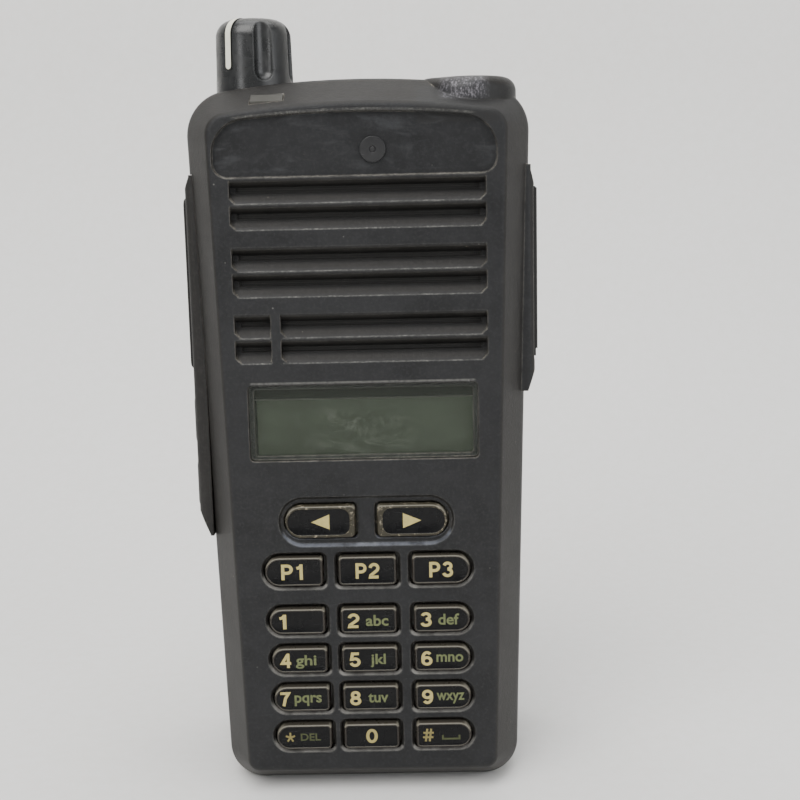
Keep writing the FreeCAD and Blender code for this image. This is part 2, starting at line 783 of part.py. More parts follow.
def keypad():
    """The key caps, the rubber mat behind them, the keypad board and the snap domes on it."""
    dome_high = 0.5
    stem_start = size.wall + 0.9
    stem_end = size.board_deep - dome_high - size.key_travel - size.hair
    for name, side, wide, tall, across, up in key_places():
        key = new_body(name)
        drawn = sketch(key, "front", -size.key_proud)
        outline(drawn, key_shape(wide, tall, side))
        pad(drawn, size.key_proud + size.wall + 0.2, "back")
        round_edges(key, 0.45, flat_at("Y", -size.key_proud))
        drawn = sketch(key, "front", size.wall + 0.1)
        rim = 2 * size.key_flange
        outline(drawn, key_shape(wide + rim, tall + rim, side))
        pad(drawn, 0.9, "back")
        drawn = sketch(key, "front", stem_start)
        circle(drawn, 0, 0, 1.2)
        pad(drawn, stem_end - stem_start, "back")
        shift(key, across, FRONT, up)
    mat = new_body("keypad_mat")
    drawn = sketch(mat, "front", deep(3.9))
    outline(drawn, body_corners(5.9, size.cavity_floor + 0.3, 57))
    pad(drawn, size.board_deep - 3.95, "back")
    drawn = sketch(mat, "front", deep(5.1))
    outline(drawn, body_corners(7.1, size.cavity_floor + 1.5, 55.8))
    pocket(drawn, 4, "back")
    drawn = sketch(mat, "front", deep(3.9))
    for _, _, _, _, across, up in key_places():
        circle(drawn, across, up, 1.6)
    pocket(drawn, 4, "back")
    board = body_corners(5.8, size.cavity_floor + 0.3, 80.2)
    block("keypad_board", "front", board, deep(size.board_deep), size.board_thick, "back")
    domes = []
    for _, _, _, _, across, up in key_places():
        middle = FreeCAD.Vector(across.value, deep(size.board_deep - dome_high).value, up.value)
        dome = Part.makeCone(1.6, 2.4, dome_high, middle, FreeCAD.Vector(0, 1, 0))
        domes.append(dome)
    feature_group("key_domes", domes)


# ---------------------------------------------------------------- boards, chassis and seal


CONTACT_PLACES = (-6.5, 0, 6.5)
BOARD_CORNERS = [(-18.5, 14.0), (18.5, 14.0), (-19.5, 104.0), (19.5, 104.0)]


def boards():
    """The main board with its shield cans, held to the chassis by four screws."""
    board = new_body("main_board")
    drawn = sketch(board, "front", deep(size.main_deep))
    outline(drawn, body_corners(7.0, size.cavity_floor + 0.5, 109.4))
    pad(drawn, size.board_thick, "back")
    drawn = sketch(board, "front", deep(size.main_deep))
    for across, up in BOARD_CORNERS:
        circle(drawn, across, up, 1.1)
    pocket(drawn, 3, "back")
    back = deep(size.main_deep + size.board_thick)
    cans = [(-17, -1, 58, 94), (2, 17, 66, 94), (2, 17, 50, 63), (-15, 15, 32, 46)]
    shapes = []
    for left, right, low, high in cans:
        can = solid_box(left, right, back, back + 2.6, low, high)
        upright = [e for e in can.Edges if abs(e.BoundBox.YLength - 2.6) < 0.01]
        shapes.append(can.makeFillet(0.8, upright))
    feature_group("shield_cans", shapes)
    screws = []
    forward = FreeCAD.Vector(0, 1, 0)
    for across, up in BOARD_CORNERS:
        head = FreeCAD.Vector(across, deep(size.main_deep - 1.1).value, up)
        screw = Part.makeCylinder(1.7, 1.1, head, forward)
        shank = Part.makeCylinder(0.9, 6.5, head, forward)
        screws.append(screw.fuse(shank).removeSplitter())
    feature_group("board_screws", screws)


def chassis():
    """The cast chassis: back plate, upright rim and four posts, and the seal round it."""
    body = new_body("chassis")
    plate_thick = size.body_depth - 0.2 - size.plate_deep
    floor = size.cavity_floor + 0.2
    drawn = sketch(body, "front", deep(size.plate_deep))
    outline(drawn, body_corners(2.4, floor, 109.7))
    pad(drawn, plate_thick, "back")
    rim_front = size.main_deep + size.board_thick + 0.1
    drawn = sketch(body, "front", deep(rim_front))
    outline(drawn, body_corners(7.2, floor + 2.2, 107.9))
    outline(drawn, body_corners(8.6, floor + 3.6, 106.5))
    pad(drawn, size.plate_deep - rim_front, "back")
    drawn = sketch(body, "front", deep(rim_front))
    for across, up in BOARD_CORNERS:
        circle(drawn, across, up, 2.6)
    pad(drawn, size.plate_deep - rim_front, "back")
    drawn = sketch(body, "front", deep(rim_front))
    for across, up in BOARD_CORNERS:
        circle(drawn, across, up, 0.95)
    pocket(drawn, 6, "back")
    drawn = sketch(body, "front", deep(size.plate_deep - 1))
    rectangle(drawn, -11, 18, 11, 29, 1)
    pocket(drawn, 5, "back")
    drawn = sketch(body, "front", deep(size.body_depth - 0.2))
    for low in (36, 52, 68, 84):
        rectangle(drawn, -17, low, 17, low + 12, 2)
    pocket(drawn, 0.8, "front")
    seal = new_body("main_seal")
    drawn = sketch(seal, "front", deep(20.1))
    outline(drawn, body_corners(2.5, size.cavity_floor + 0.1, 109.6))
    outline(drawn, body_corners(3.9, size.cavity_floor + 1.5, 108.2))
    pad(drawn, 1.4, "back")
    contacts = new_body("battery_contacts")
    drawn = sketch(contacts, "front", deep(14.3))
    rectangle(drawn, -10.9, 18.1, 10.9, 28.9, 0.9)
    pad(drawn, 9.5, "back")
    drawn = sketch(contacts, "front", deep(23.7))
    for across in CONTACT_PLACES:
        rectangle(drawn, across - 1, 21, across + 1, 26, 0.9)
    pad(drawn, 0.55, "back")


# ---------------------------------------------------------------- top controls


def knob():
    """The volume knob: domed, with five scooped flutes and a white line where the sixth would be."""
    radius, tall = size.knob_radius, size.knob_tall
    body = new_body("volume_knob")
    drawn = sketch(body, "front", 0)
    bore = size.shaft_radius + 0.04
    nut_room = 3.2
    outline(
        drawn,
        [
            (bore, nut_room),
            (4.9, nut_room),
            (4.9, 0),
            (radius, 0, 0.4),
            (radius - 0.3, tall, 3.2),
            (0, tall),
            (0, tall - 2.6),
            (bore, tall - 2.6),
        ],
    )
    revolve(drawn, "V_Axis")
    scoop = 2.1
    drawn = sketch(body, "front", 0, origin=(-radius - 0.84, 0))
    outline(drawn, [(0, 2.3), (scoop, 2.3, scoop - 0.1), (scoop, tall + 1), (0, tall + 1)])
    flute = revolve(drawn, "V_Axis", "Groove")
    for other_way in (False, True):
        pattern = body.newObject("PartDesign::PolarPattern", "flutes")
        pattern.Originals = [flute]
        pattern.Axis = (axis_of(body, "Z_Axis"), [""])
        pattern.Angle = 125
        pattern.Occurrences = 3
        pattern.Reversed = other_way
        body.Tip = pattern
    document.recompute()
    line_low = 4.6
    drawn = sketch(body, "front", 0)
    outline(
        drawn,
        [
            (radius + 1, line_low - 0.1),
            (radius + 1, tall + 1),
            (2.3, tall + 1),
            (2.3, tall - 0.55),
            (radius - 0.85, tall - 0.55, 2.7),
            (radius - 0.55, line_low - 0.1),
        ],
    )
    pocket(drawn, 1.6, BOTH_WAYS)
    mark = new_body("knob_mark")
    drawn = sketch(mark, "front", 0)
    outline(
        drawn,
        [
            (radius + 0.03, line_low),
            (radius - 0.24, tall + 0.06, 3.2),
            (2.4, tall + 0.06),
            (2.4, tall - 0.5),
            (radius - 0.8, tall - 0.5, 2.75),
            (radius - 0.5, line_low),
        ],
    )
    pad(drawn, 1.5, BOTH_WAYS)
    for part in (body, mark):
        part.Placement.Rotation = FreeCAD.Rotation(FreeCAD.Vector(0, 0, 1), MARK_DIRECTION)
        shift(part, KNOB_AXIS[0], KNOB_AXIS[1], size.knob_base)


def top_controls():
    """The volume control with its shaft, the antenna socket and the status light."""
    knob()
    roof = 124.0
    control = new_body("volume_control")
    drawn = sketch(control, "top", 117.4, origin=KNOB_AXIS)
    rectangle(drawn, -5.6, -5.2, 5.6, 5.2, 0.6)
    pad(drawn, roof - 117.4, "up")
    drawn = sketch(control, "top", roof, origin=KNOB_AXIS)
    circle(drawn, 0, 0, 4.0)
    pad(drawn, size.knob_base + 2.7 - roof, "up")
    drawn = sketch(control, "top", size.knob_base + 3, origin=KNOB_AXIS)
    circle(drawn, 0, 0, size.shaft_radius + 0.04)
    pocket(drawn, size.knob_base + 3 - 119, "down")
    shaft_top = size.knob_base + size.knob_tall - 2.9
    shaft = [(0, 119.2), (size.shaft_radius, 119.2), (size.shaft_radius, shaft_top, 0.4)]
    turned("volume_shaft", shaft + [(0, shaft_top)], KNOB_AXIS)
    bore_floor, relief_top = 119.8, 122.4
    flange = size.boss_top - 2.05
    turned(
        "antenna_socket",
        [
            (0, 118.2),
            (4.4, 118.2, 0.4),
            (4.4, flange),
            (5.65, flange),
            (5.65, size.boss_top - 0.2, 0.3),
            (size.thread_radius + 0.5, size.boss_top - 0.2),
            (size.thread_radius, size.boss_top - 0.7),
            (size.thread_radius, relief_top),
            (size.thread_radius + 0.4, relief_top),
            (size.thread_radius + 0.4, bore_floor),
            (0.8, bore_floor),
            (0.8, bore_floor + 1.2, 0.3),
            (0, bore_floor + 1.2),
        ],
        ANTENNA_AXIS,
    )
    light = new_body("status_light")
    drawn = sketch(light, "side", -15.4)
    outline(drawn, light_corners(0))
    pad(drawn, 5.6, BOTH_WAYS)
    badge = [(deep(0.35), 0), (deep(0.35), 0.35), (deep(0.5), 0.5), (deep(0.35), 0.65)]
    badge += [(deep(0.35), 2.25, 0.15), (deep(0.8), 2.25), (deep(0.8), 0)]
    facing("badge", badge, 2.8, 117.6)


# ---------------------------------------------------------------- side controls


def side_controls():
    """The left side: bezel, talk button, two side keys and the switches behind them."""
    bezel = new_body("side_bezel")
    front, back = deep(size.side_front), deep(size.side_back)
    inner, outer = 28.6, 31.2
    drawn = sketch(bezel, "top", 48)
    outline(
        drawn, [(-inner, front), (-outer, front, 1.6), (-outer, back, 1.6), (-inner, back)][::-1]
    )
    pad(drawn, 66, "up")
    drawn = sketch(bezel, "front", 0)
    outline(drawn, [(-29.2, 47), (-33, 47), (-33, 52.5), (-31.0, 52.5), (-29.2, 48.2)])
    outline(drawn, [(-31.2, 111.5), (-33, 111.5), (-33, 115), (-30.3, 115), (-30.3, 113.6)])
    pocket(drawn, 60, BOTH_WAYS)
    openings = [(78.75, 110.25), (64.75, 74.25), (52.75, 62.25)]
    switch_face, plunger = 24.3, 0.95
    drawn = sketch(bezel, "side", -33)
    for low, high in openings:
        rectangle(drawn, deep(8.25), low, deep(18.75), high, 1.6)
    pocket(drawn, 6, "right")
    names = ["talk_button", "side_key_upper", "side_key_lower"]
    reaches = [size.side_reach, 31.5, 31.5]
    for name, reach, (low, high) in zip(names, reaches, openings):
        key = new_body(name)
        drawn = sketch(key, "side", -reach)
        rectangle(drawn, deep(8.5), low + size.gap, deep(18.5), high - size.gap, 1.4)
        pad(drawn, reach - 28, "right")
        round_edges(key, 0.6, flat_at("X", -reach))
        drawn = sketch(key, "side", -28.4)
        rectangle(drawn, deep(8.1), low - 0.3, deep(18.9), high + 0.3, 1.2)
        pad(drawn, 0.8, "right")
        drawn = sketch(key, "side", -27.7)
        circle(drawn, deep(13.5), (low + high) / 2, 1.2)
        pad(drawn, 27.7 - switch_face - plunger - size.talk_travel - 0.15, "right")
    for index in range(9):
        drawn = sketch(document.talk_button, "side", -33)
        middle = 84 + index * 2.6
        rectangle(drawn, deep(10.4), middle, deep(16.6), middle + 1.1, 0.5)
        pocket(drawn, 33 - size.side_reach + 0.4, "right")
    switches = [solid_box(-switch_face, -23.5, deep(9), deep(18), 52, 110)]
    sideways = FreeCAD.Vector(-1, 0, 0)
    for low, high in openings:
        middle = FreeCAD.Vector(-switch_face, deep(13.5).value, (low + high) / 2)
        switches.append(Part.makeCylinder(1.9, plunger, middle, sideways))
    feature_group("side_switches", switches)


def accessory_port():
    """The right side: cover on its pin and the two-hole jack behind it."""
    cover = new_body("accessory_cover")
    low, high = 79.75, 110.75
    across, axis_y = COVER_AXIS
    drawn = sketch(cover, "top", low)
    front = deep(size.side_front + 1.25)
    outer = size.side_reach
    outline(drawn, [(28.65, front, 0.4), (outer, front, 1.2), (outer, axis_y), (28.65, axis_y)])
    pad(drawn, high - low, "up")
    drawn = sketch(cover, "top", low, origin=COVER_AXIS)
    knuckle = [(-1.35, -0.5), (outer - across, -0.5), (outer - across, 1.3, 1.2), (-1.35, 1.3, 1.2)]
    outline(drawn, knuckle)
    pad(drawn, high - low, "up")
    drawn = sketch(cover, "top", low - 1, origin=COVER_AXIS)
    circle(drawn, 0, 0, 0.67)
    pocket(drawn, high - low + 2, "up")
    drawn = sketch(cover, "side", 33)
    rectangle(drawn, deep(7), 79, deep(12), 81.6, 0.6)
    pocket(drawn, 33 - 30.4, "left")
    at_top = flat_at("Z", high)
    bevel_edges(cover, 0.35, lambda box: at_top(box) and box.XMax > outer.value - 0.1)
    turned("cover_pin", [(0, 78.2), (0.6, 78.2), (0.6, 112.7), (0, 112.7)], COVER_AXIS)
    jack = new_body("accessory_jack")
    drawn = sketch(jack, "side", 23.3)
    rectangle(drawn, deep(9.5), 85, deep(17.5), 107, 0.6)
    pad(drawn, 5, "right")
    for middle, radius in ((101.5, 1.8), (90.5, 1.3)):
        drawn = sketch(jack, "side", 28.3)
        circle(drawn, deep(13.5), middle, radius)
        pocket(drawn, 4.5, "left")


# ---------------------------------------------------------------- battery and belt clip


def battery_outline(inset):
    """The battery's outline seen from the front, moved in by an inset."""
    inset = as_size(inset)
    return body_corners(inset, inset, size.head_bottom - 0.4 - inset)


def battery():
    """The battery: base, cover, two cells, contact pads, and its release latch in the foot."""
    seam = size.body_depth + 6
    back = size.body_depth + size.battery_depth
    base = new_body("battery_base")
    drawn = sketch(base, "front", deep(size.body_depth + 0.3))
    outline(drawn, battery_outline(0))
    pad(drawn, seam - size.body_depth - 0.3, "back")
    drawn = sketch(base, "front", deep(size.body_depth + 2))
    outline(drawn, battery_outline(size.shell))
    pocket(drawn, 6, "back")
    for across in (-12, 12):
        drawn = sketch(base, "front", deep(25.2))
        rectangle(drawn, across - 3, 108, across + 3, size.head_bottom + 1.3)
        pad(drawn, 4, "back")
    drawn = sketch(base, "front", deep(size.body_depth))
    rectangle(drawn, -10, -1, 10, 5.4)
    pocket(drawn, 3, "back")
    drawn = sketch(base, "front", deep(size.body_depth))
    for across in CONTACT_PLACES:
        rectangle(drawn, across - 1.6, 20.5, across + 1.6, 26.5, 0.3)
    pocket(drawn, 1.2, "back")
    bevel_edges(base, 0.4, flat_at("Y", deep(seam)))
    cover = new_body("battery_cover")
    drawn = sketch(cover, "front", deep(seam))
    outline(drawn, battery_outline(0))
    pad(drawn, back - seam, "back")
    round_edges(cover, 4, flat_at("Y", deep(back)))
    drawn = sketch(cover, "front", deep(seam))
    outline(drawn, battery_outline(size.shell))
    pocket(drawn, back - seam - size.shell, "back")
    drawn = sketch(cover, "front", deep(back + 1))
    for across in (-7, 7):
        rectangle(drawn, across - 2, 9, across + 2, 15, 0.6)
    pocket(drawn, 2, "front")
    cells = []
    for left in (-23.4, 0.4):
        cell = solid_box(left, left + 23, deep(26.6), deep(37.6), 12, 104)
        upright = [e for e in cell.Edges if abs(e.BoundBox.ZLength - 92) < 0.01]
        cells.append(cell.makeFillet(4, upright))
    feature_group("battery_cells", cells)
    pads = [
        solid_box(across - 1.5, across + 1.5, deep(24.4), deep(25.2), 20.6, 26.4)
        for across in CONTACT_PLACES
    ]
    pads += [
        solid_box(across - 1.8, across + 1.8, deep(39), deep(39.8), 9.2, 14.8)
        for across in (-7, 7)
    ]
    feature_group("battery_pads", pads)


def coil(radius, wire, turns, pitch):
    """A helical spring about the Z axis, from the origin up."""
    path = Part.makeHelix(pitch, pitch * turns, radius)
    start = FreeCAD.Vector(radius, 0, 0)
    section = Part.Wire(Part.makeCircle(wire, start, FreeCAD.Vector(0, 1, 0)))
    return Part.Wire(path).makePipeShell([section], True, True)


def latch():
    """The battery release latch in the foot, with the spring in front of it."""
    body = new_body("battery_latch")
    drawn = sketch(body, "side", 0)
    outline(
        drawn,
        [
            (deep(17.4), 0.5),
            (deep(23.4), 0.5),
            (deep(25.8), 2.6),
            (deep(25.8), 4.4),
            (deep(17.4), 4.4),
        ],
    )
    pad(drawn, 18, BOTH_WAYS)
    drawn = sketch(body, "side", 0)
    for front in (18.2, 19.6, 21.0):
        rectangle(drawn, deep(front), 0, deep(front + 0.7), 0.9)
    pocket(drawn, 13, BOTH_WAYS)
    spring = coil(1.2, 0.25, 4, 0.8)
    spring.rotate(FreeCAD.Vector(0, 0, 0), FreeCAD.Vector(1, 0, 0), -90)
    springs = []
    for across in (-5, 5):
        copy = spring.copy()
        copy.translate(FreeCAD.Vector(across, deep(13.85).value, 2.5))
        springs.append(copy)
    feature_group("latch_spring", springs)


def lever_corner(box):
    """Whether an edge is one of the lever's two upper corners seen from behind."""
    return box.XLength < 0.01 and box.ZLength < 0.01 and box.ZMin > size.clip_axis.value


def belt_clip():
    """The sprung belt clip: bracket on the battery, pin, lever and torsion spring."""
    back = size.body_depth + size.battery_depth
    half, pin_deep, height = size.clip_half, CLIP_DEEP, size.clip_axis
    bracket = new_body("clip_bracket")
    drawn = sketch(bracket, "front", deep(back))
    rectangle(drawn, -half - 2.2, height - 7, half + 2.2, height + 7, 1.5)
    pad(drawn, 1.2, "back")
    for side in (-1, 1):
        drawn = sketch(bracket, "side", side * (half + 1.15))
        outline(
            drawn,
            [
                (deep(back), height - 5),
                (deep(pin_deep + 2.4), height - 3, 2),
                (deep(pin_deep + 2.4), height + 3, 2),
                (deep(back), height + 5),
            ],
        )
        pad(drawn, 1.7, BOTH_WAYS)
    drawn = sketch(bracket, "side", 0)
    circle(drawn, deep(pin_deep), height, size.pin_radius + 0.02)
    pocket(drawn, 40, BOTH_WAYS)
    pin = new_body("clip_pin")
    drawn = sketch(pin, "side", 0)
    circle(drawn, deep(pin_deep), height, size.pin_radius)
    pad(drawn, 2 * half + 4, BOTH_WAYS)
    lever = new_body("belt_clip")
    outer = back + size.clip_depth
    spring_room = 2.3
    drawn = sketch(lever, "side", 0)
    outline(
        drawn,
        [
            (deep(outer - 2), height + 8.5),
            (deep(outer), height + 8.5),
            (deep(outer), 52, 3),
            (deep(outer - 3), 47.5, 1.5),
            (deep(outer - 5), 47.5, 0.8),
            (deep(outer - 4.6), 49.6, 0.5),
            (deep(outer - 2), 53, 1.5),
        ],
    )
    pad(drawn, 2 * half, BOTH_WAYS)
    round_edges(lever, 3, lever_corner)
    for side in (-1, 1):
        drawn = sketch(lever, "side", side * (half - 2.4))
        outline(
            drawn,
            [
                (deep(pin_deep - 1.9), height - 2.1, 1.7),
                (deep(outer - 1), height - 2.1),
                (deep(outer - 1), height + 2.1),
                (deep(pin_deep - 1.9), height + 2.1, 1.7),
            ],
        )
        pad(drawn, 4.4, BOTH_WAYS)
    drawn = sketch(lever, "side", 0)
    circle(drawn, deep(pin_deep), height, size.pin_radius + 0.05)
    pocket(drawn, 2 * half + 2, BOTH_WAYS)
    drawn = sketch(lever, "side", 0)
    circle(drawn, deep(pin_deep), height, spring_room)
    pocket(drawn, 7, BOTH_WAYS)
    drawn = sketch(lever, "front", deep(outer))
    for index in range(5):
        low = height + 1.4 + index * 1.3
        rectangle(drawn, -6, low, 6, low + 0.6)
    pocket(drawn, 0.35, "front")
    spring = coil(1.75, 0.28, 7, 0.72)
    spring.rotate(FreeCAD.Vector(0, 0, 0), FreeCAD.Vector(0, 1, 0), 90)
    spring.translate(FreeCAD.Vector(-2.52, deep(pin_deep).value, height.value))
    feature_group("clip_spring", [spring])


def build():
    """Makes every sub-part."""
    front_housing()
    display()
    speaker()
    keypad()
    boards()
    chassis()
    top_controls()
    side_controls()
    accessory_port()
    battery()
    latch()
    belt_clip()


def check_and_export():
    """Stops on any failed feature or empty shape, then writes one STEP file for each sub-part."""
    document.recompute()
    broken = [o.Label for o in document.Objects if {"Invalid", "Error"} & set(o.State)]
    if broken:
        raise RuntimeError(f"failed features: {broken}")
    os.makedirs("parts", exist_ok=True)
    subparts = [o for o in document.Objects if o.TypeId == "PartDesign::Body"]
    subparts += [o for o in document.Objects if o.TypeId == "Part::Feature"]
    for part in subparts:
        if part.Shape.isNull() or not part.Shape.isValid() or not part.Shape.Solids:
            raise RuntimeError(f"{part.Label} has no valid solid")
        part.Shape.exportStep(f"parts/{part.Label}.step")
    print(len(subparts), "sub-parts written")


build()
check_and_export()
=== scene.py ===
"""Looks of the handheld two way radio: materials, key caps, legends, small detail, light and camera."""

import json
import math

import bmesh
import bpy
from mathutils import Matrix, Vector


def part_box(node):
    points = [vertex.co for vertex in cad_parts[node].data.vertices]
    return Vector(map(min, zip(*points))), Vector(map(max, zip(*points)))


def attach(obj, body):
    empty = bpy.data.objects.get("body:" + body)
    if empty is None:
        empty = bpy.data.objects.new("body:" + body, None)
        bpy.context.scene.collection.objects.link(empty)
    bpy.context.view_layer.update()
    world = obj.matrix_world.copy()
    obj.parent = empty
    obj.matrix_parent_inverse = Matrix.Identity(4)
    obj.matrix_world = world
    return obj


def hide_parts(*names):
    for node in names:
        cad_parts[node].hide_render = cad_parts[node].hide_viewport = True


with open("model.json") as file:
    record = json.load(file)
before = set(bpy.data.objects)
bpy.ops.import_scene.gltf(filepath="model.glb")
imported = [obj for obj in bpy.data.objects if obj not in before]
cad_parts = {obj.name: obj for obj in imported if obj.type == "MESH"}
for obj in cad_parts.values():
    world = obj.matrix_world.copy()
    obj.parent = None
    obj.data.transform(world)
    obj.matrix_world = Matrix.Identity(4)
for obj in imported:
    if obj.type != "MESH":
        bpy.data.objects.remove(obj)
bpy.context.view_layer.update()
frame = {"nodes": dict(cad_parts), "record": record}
NODES = frame["nodes"]
MM = 0.001

# The y of the housing's front face, in metres.
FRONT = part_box("front_housing")[0].y


# ---------------------------------------------------------------- node helpers


class Shade:
    """Builds one Principled material from small steps. Places are in millimetres."""

    def __init__(self, name):
        self.material = bpy.data.materials.new(name)
        self.material.use_nodes = True
        self.tree = self.material.node_tree
        self.bsdf = self.tree.nodes["Principled BSDF"]
        coords = self.tree.nodes.new("ShaderNodeTexCoord")
        self.place = self.vector("SCALE", coords.outputs["Object"], scale=1000.0)
        self.rounded_edges = {}

    def feed(self, socket, value):
        """Puts a number, a colour or another node's output into a socket."""
        if isinstance(value, bpy.types.NodeSocket):
            self.tree.links.new(value, socket)
        elif isinstance(value, tuple) and len(value) == 3 and len(socket.default_value) == 4:
            socket.default_value = value + (1.0,)
        else:
            socket.default_value = value

    def vector(self, operation, a, b=None, scale=None):
        """A vector sum."""
        node = self.tree.nodes.new("ShaderNodeVectorMath")
        node.operation = operation
        self.feed(node.inputs[0], a)
        if b is not None:
            self.feed(node.inputs[1], b)
        if scale is not None:
            node.inputs["Scale"].default_value = scale
        return node.outputs[1 if operation in ("DOT_PRODUCT", "LENGTH") else 0]

    def sum(self, operation, a, b=0.0, clamp=False):
        """A sum of numbers."""
        node = self.tree.nodes.new("ShaderNodeMath")
        node.operation = operation
        node.use_clamp = clamp
        self.feed(node.inputs[0], a)
        self.feed(node.inputs[1], b)
        return node.outputs[0]

    def product(self, *values):
        """Numbers multiplied together."""
        result = values[0]
        for value in values[1:]:
            result = self.sum("MULTIPLY", result, value)
        return result

    def step(self, value, low, high, start=0.0, end=1.0):
        """Runs smoothly from start to end as value goes from low to high."""
        node = self.tree.nodes.new("ShaderNodeMapRange")
        node.interpolation_type = "SMOOTHSTEP"
        self.feed(node.inputs["Value"], value)
        for name, number in (("From Min", low), ("From Max", high), ("To Min", start), ("To Max", end)):
            self.feed(node.inputs[name], number)
        return node.outputs[0]

    def between(self, value, low, high, soft):
        """One where a value lies between two limits, with soft ends."""
        return self.product(self.step(value, low, low + soft), self.step(value, high, high - soft))

    def noise(self, size, detail=2.0, rough=0.5, stretch=(1, 1, 1), distort=0.0, seed=0.0):
        """Noise whose lumps are about this many millimetres across."""
        node = self.tree.nodes.new("ShaderNodeTexNoise")
        node.noise_dimensions = "4D"
        self.feed(node.inputs["Vector"], self.vector("MULTIPLY", self.place, stretch))
        node.inputs["Scale"].default_value = 1.0 / size
        node.inputs["Detail"].default_value = detail
        node.inputs["Roughness"].default_value = rough
        node.inputs["Distortion"].default_value = distort
        node.inputs["W"].default_value = seed
        return node.outputs["Fac"]

    def cells(self, size):
        """Voronoi distance and cell colour, with cells about this many millimetres across."""
        node = self.tree.nodes.new("ShaderNodeTexVoronoi")
        self.feed(node.inputs["Vector"], self.place)
        node.inputs["Scale"].default_value = 1.0 / size
        return node.outputs["Distance"], node.outputs["Color"]

    def axes(self):
        """The x, y and z of the place."""
        node = self.tree.nodes.new("ShaderNodeSeparateXYZ")
        self.feed(node.inputs[0], self.place)
        return node.outputs[0], node.outputs[1], node.outputs[2]

    def facing(self, radius=0.45):
        """The x, y and z of the surface's direction, softened over sharp edges."""
        node = self.tree.nodes.new("ShaderNodeSeparateXYZ")
        self.feed(node.inputs[0], self.soft_normal(radius))
        return node.outputs[0], node.outputs[1], node.outputs[2]

    def soft_normal(self, radius):
        """The surface's direction with sharp edges rounded by a radius."""
        if radius not in self.rounded_edges:
            node = self.tree.nodes.new("ShaderNodeBevel")
            node.samples = 4
            node.inputs["Radius"].default_value = radius * MM
            self.rounded_edges[radius] = node.outputs[0]
        return self.rounded_edges[radius]

    def edges(self, soft):
        """Above nought near edges, where the softened direction leaves the surface's own."""
        flat = self.tree.nodes.new("ShaderNodeNewGeometry").outputs["True Normal"]
        return self.sum("SUBTRACT", 1.0, self.vector("DOT_PRODUCT", soft, flat))

    def blend(self, factor, a, b, how="MIX"):
        """Mixes two colours."""
        node = self.tree.nodes.new("ShaderNodeMix")
        node.data_type = "RGBA"
        node.blend_type = how
        self.feed(node.inputs["Factor"], factor)
        self.feed(node.inputs[6], a)
        self.feed(node.inputs[7], b)
        return node.outputs[2]

    def specks(self, size, share, spot=0.3):
        """Small round specks on a share of the cells."""
        distance, colour = self.cells(size)
        chosen = self.tree.nodes.new("ShaderNodeSeparateColor")
        self.feed(chosen.inputs[0], colour)
        on = self.sum("LESS_THAN", chosen.outputs[0], share)
        round_spot = self.step(distance, spot, spot * 0.4)
        return self.product(on, round_spot)

    def scratches(self, size, stretch, low, high, seed=0.0):
        """Fine drawn-out marks."""
        streak = self.noise(size, 3.0, 0.6, stretch, 0.3, seed)
        patch = self.noise(9.0, 1.0, 0.5, seed=seed + 5.0)
        mark = self.step(streak, low, high)
        return self.product(mark, self.step(patch, 0.45, 0.62))

    def bump(self, height, depth, normal=None):
        """A surface direction from a height, which is in units of depth millimetres."""
        node = self.tree.nodes.new("ShaderNodeBump")
        node.inputs["Strength"].default_value = 1.0
        node.inputs["Distance"].default_value = depth * MM
        self.feed(node.inputs["Height"], height)
        if normal is not None:
            self.feed(node.inputs["Normal"], normal)
        return node.outputs[0]

    def finish(self, colour, rough, normal=None, metal=0.0, specular=0.5, alpha=None):
        """Connects the material's main values."""
        self.feed(self.bsdf.inputs["Base Color"], colour)
        self.feed(self.bsdf.inputs["Roughness"], rough)
        if normal is not None:
            self.feed(self.bsdf.inputs["Normal"], normal)
        if alpha is not None:
            self.feed(self.bsdf.inputs["Alpha"], alpha)
        self.bsdf.inputs["Metallic"].default_value = metal
        self.bsdf.inputs["Specular IOR Level"].default_value = specular
        return self.material


def tint(red, green, blue):
    """A colour given in display values from 0 to 255."""
    channels = []
    for value in (red, green, blue):
        value /= 255.0
        channels.append(value / 12.92 if value < 0.04045 else ((value + 0.055) / 1.055) ** 2.4)
    return tuple(channels)


def scaled(colour, factor, lift=0.0):
    """A colour made brighter or darker, and lifted."""
    return tuple(channel * factor + lift for channel in colour)


# ---------------------------------------------------------------- places that carry marks, painted highlights and painted shade
# All in millimetres: across is x, up is z, and depth is counted back from the front face.

BOSS_ACROSS, BOSS_UP = (10.0, 29.0), (121.5, 128.6)
SCUFF_ACROSS, SCUFF_UP = (13.8, 23.6), (125.6, 130.2)
PANEL_UP = (113.6, 124.4)
# Painted highlights lie above the display window, on the lip below the arrow keys, on the lower lips of the
# key openings and on the louvre lips; the slots carry painted shade.
WINDOW_HIGHLIGHT_ACROSS, WINDOW_HIGHLIGHT_UP = (-20.2, 20.2), (76.95, 77.5)
ARROW_LIP_ACROSS, ARROW_LIP_UP = (-15.8, 15.8), (46.8, 50.6)
OPENINGS_ACROSS, OPENINGS_UP = (-23.0, 23.0), (5.5, 46.6)
GRILLE_ACROSS, GRILLE_UP = (-21.8, 21.8), (80.2, 109.6)
POST_ACROSS, POST_TOP = (-16.2, -13.8), 89.0
SLOTS_ACROSS, SLOTS_UP, SLOTS_DEPTH = (-23.0, 23.0), (80.0, 113.4), (0.7, 5.0)

# The louvres come in pairs. Each has a lip that carries a painted highlight, speckled like wear, a narrow
# band
#  counted from a millimetre below the lowest lip.
LOWEST_LIP = 80.73
LIP_BAND = (0.85, 1.25)
LOUVRE_STEP = 4.5
LOUVRE_PAIR = 11.7

# The lip above the panel, under the crown, carries a painted highlight; it is an arc: its height in the
# middle and how fast it falls.
CROWN_ACROSS, CROWN_TOP, CROWN_FALL = (-22.0, 21.0), 124.13, 0.0025

